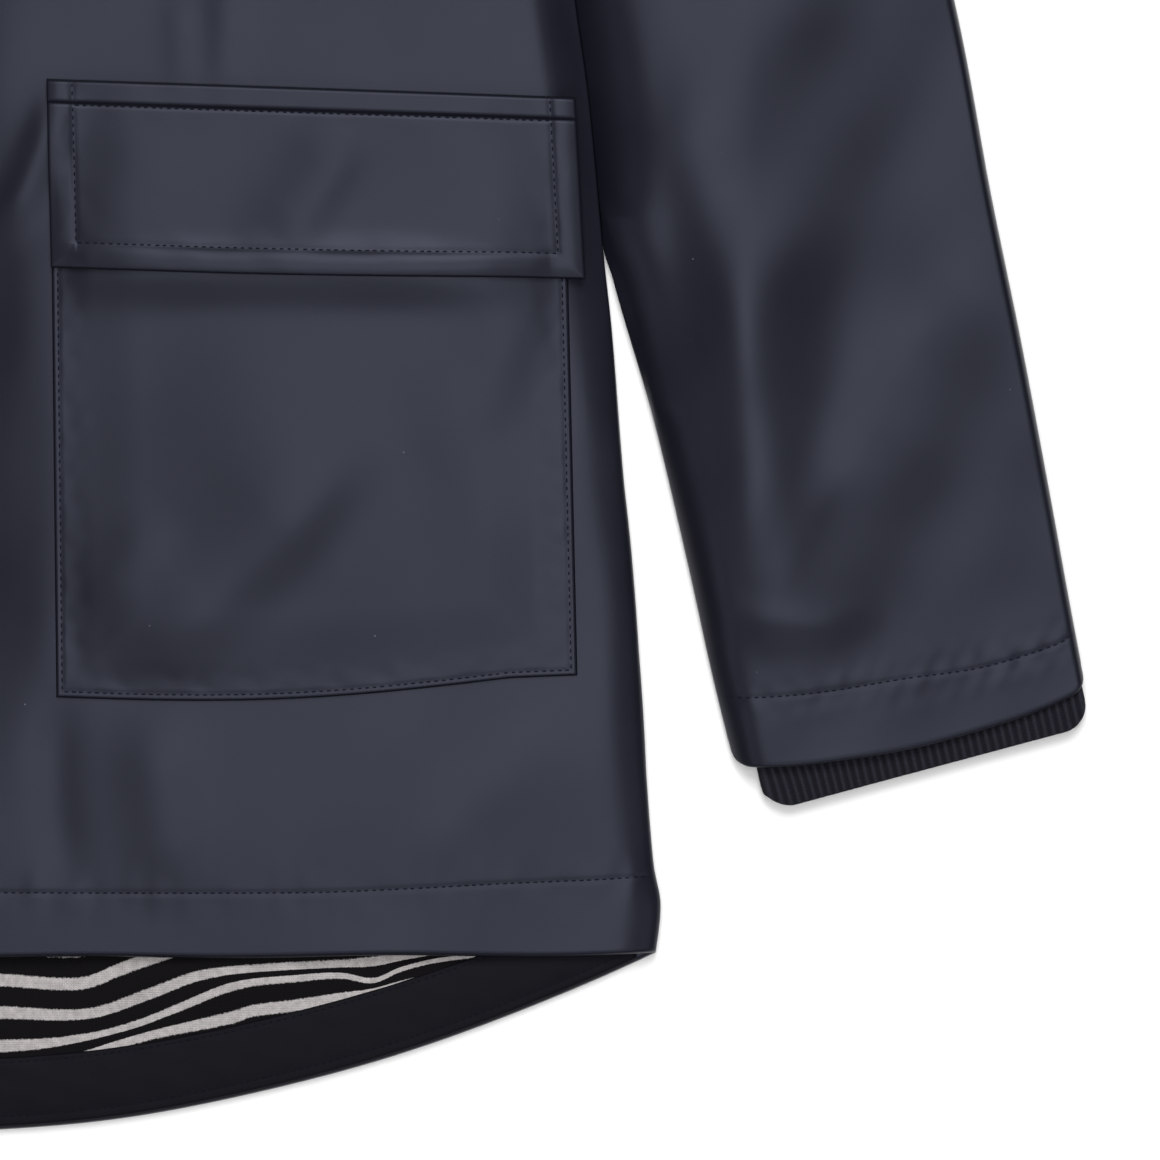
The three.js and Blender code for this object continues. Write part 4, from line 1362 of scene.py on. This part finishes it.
collar = {
    "wall": 2,
    "topHalf": 73,
    "sideTop": 312.3,
    "low": 4.6,
    "high": 10.4,
    "rise": 33,
    "seamGap": 1.2,
    "columns": 300,
    "stitchIn": 2.2,
}


def collarPoint(angle, t, offset):
    middle, swing = (collar["low"] + collar["high"]) / 2, (collar["high"] - collar["low"]) / 2
    forward = np.cos(angle)
    x = mix(body["neckHalf"] - 1, collar["topHalf"], t) * np.sin(angle)
    centreY = np.where(forward > 0, body["frontNeckY"], body["backNeckY"]) + collar["seamGap"]
    seamY = neckLine(np.abs(x), centreY)
    y = seamY + t * mix(collar["sideTop"] - body["neckSideY"], collar["rise"], np.abs(forward))
    along = (1 - t) * collar["rise"]
    dent = np.where(offset > 0, grooveDepth(along - collar["stitchIn"]), 0)
    puff = np.where(offset > 0, 0.5 * np.sin(math.pi * np.clip(t, 0, 1)) + 0.15 * ripple(x, y, 18, 121), 0)
    z = middle + swing * forward + forward * offset * (1 + 0 * t) + forward * (puff - dent)
    return np.stack([x, y, z], -1)


def makeCollar():
    angle = np.linspace(0.006, 2 * math.pi - 0.006, collar["columns"])
    half = collar["wall"] / 2
    section = [(t, half) for t in fineShares(collar["rise"], 1.5, reach=3)[:-1]]
    section += [(1 + 0.03 * math.sin(a), half * math.cos(a)) for a in np.linspace(0, math.pi, 9)]
    section += [(t, -half) for t in np.linspace(0.97, 0, 12)]
    section = section[::-1]
    x, y, z = np.moveaxis(np.array([collarPoint(angle, t, offset) for t, offset in section]), -1, 0)
    points = np.stack([x, y, z], -1).reshape(-1, 3)
    piece = makeMesh("collar_shell", points, gridQuads(*x.shape), coated, "coated_cloth")
    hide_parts("collar")
    quarter = np.linspace(0.05, math.pi / 2, 260)
    lineX, lineY, lineZ = collarPoint(quarter, 1 - collar["stitchIn"] / collar["rise"], half).T
    for side, _ in sides:
        sewLine(side, lineX, lineY, lambda a, b: np.interp(a, lineX, lineZ))


makeCollar()
for side, name in sides:
    makeStitches("stitches_" + name, side, stitchPlaces[side])
    print("stitches", name, len(stitchPlaces[side]))


# Floor, light and camera

studio = {
    "floor": (0.93, 0.93, 0.93, 1),
    "floorReach": 6.0,
    "world": 0.09,
    "lights": [
        # name, place, aim, size, watts
        ("overhead", (0.22, -0.05, 3.4), (0.2, -0.15, 0), 1.2, 38),
        ("upper", (0.35, 1.75, 3.0), (0.2, -0.1, 0), 1.6, 84),
        ("lower", (0.35, -2.15, 3.0), (0.2, -0.1, 0), 1.8, 24),
        ("leftFill", (-1.9, -1.0, 2.4), (0.1, -0.1, 0), 1.2, 10),
        ("rightFill", (2.2, -1.0, 2.4), (0.2, -0.1, 0), 1.2, 10),
    ],
}


def makeFloor():
    mesh = bpy.data.meshes.new("floor")
    reach = studio["floorReach"]
    corners = [(-reach, -reach, 0), (reach, -reach, 0), (reach, reach, 0), (-reach, reach, 0)]
    mesh.from_pydata(corners, [], [(0, 1, 2, 3)])
    floor = bpy.data.objects.new("floor", mesh)
    bpy.context.scene.collection.objects.link(floor)
    material, _, shader = newMaterial("floorPaint", 0.9, 0.1)
    shader.inputs["Base Color"].default_value = studio["floor"]
    mesh.materials.append(material)


def aimed(thing, place, target):
    thing.location = place
    direction = Vector([b - a for a, b in zip(place, target)])
    thing.rotation_euler = direction.to_track_quat("-Z", "Y").to_euler()


def makeLights():
    world = bpy.data.worlds.new("studio")
    world.use_nodes = True
    background = world.node_tree.nodes["Background"]
    background.inputs["Color"].default_value = (1, 1, 1, 1)
    background.inputs["Strength"].default_value = studio["world"]
    bpy.context.scene.world = world
    for name, place, target, size, watts in studio["lights"]:
        light = bpy.data.lights.new(name, "AREA")
        light.shape = "SQUARE"
        light.size = size
        light.energy = watts
        lamp = bpy.data.objects.new(name, light)
        bpy.context.scene.collection.objects.link(lamp)
        aimed(lamp, place, target)


view = {"centre": (0.204, -0.1447), "clothTop": 0.009, "across": 0.348, "lens": 250, "sensor": 36}


def makeCamera():
    camera = bpy.data.cameras.new("overheadCamera")
    camera.lens = view["lens"]
    camera.sensor_width = view["sensor"]
    holder = bpy.data.objects.new("overheadCamera", camera)
    height = view["across"] * view["lens"] / view["sensor"] + view["clothTop"]
    holder.location = (*view["centre"], height)
    bpy.context.scene.collection.objects.link(holder)
    bpy.context.scene.camera = holder


makeFloor()
makeLights()
makeCamera()
bpy.context.scene.view_settings.view_transform = "Standard"

print("scene finished")
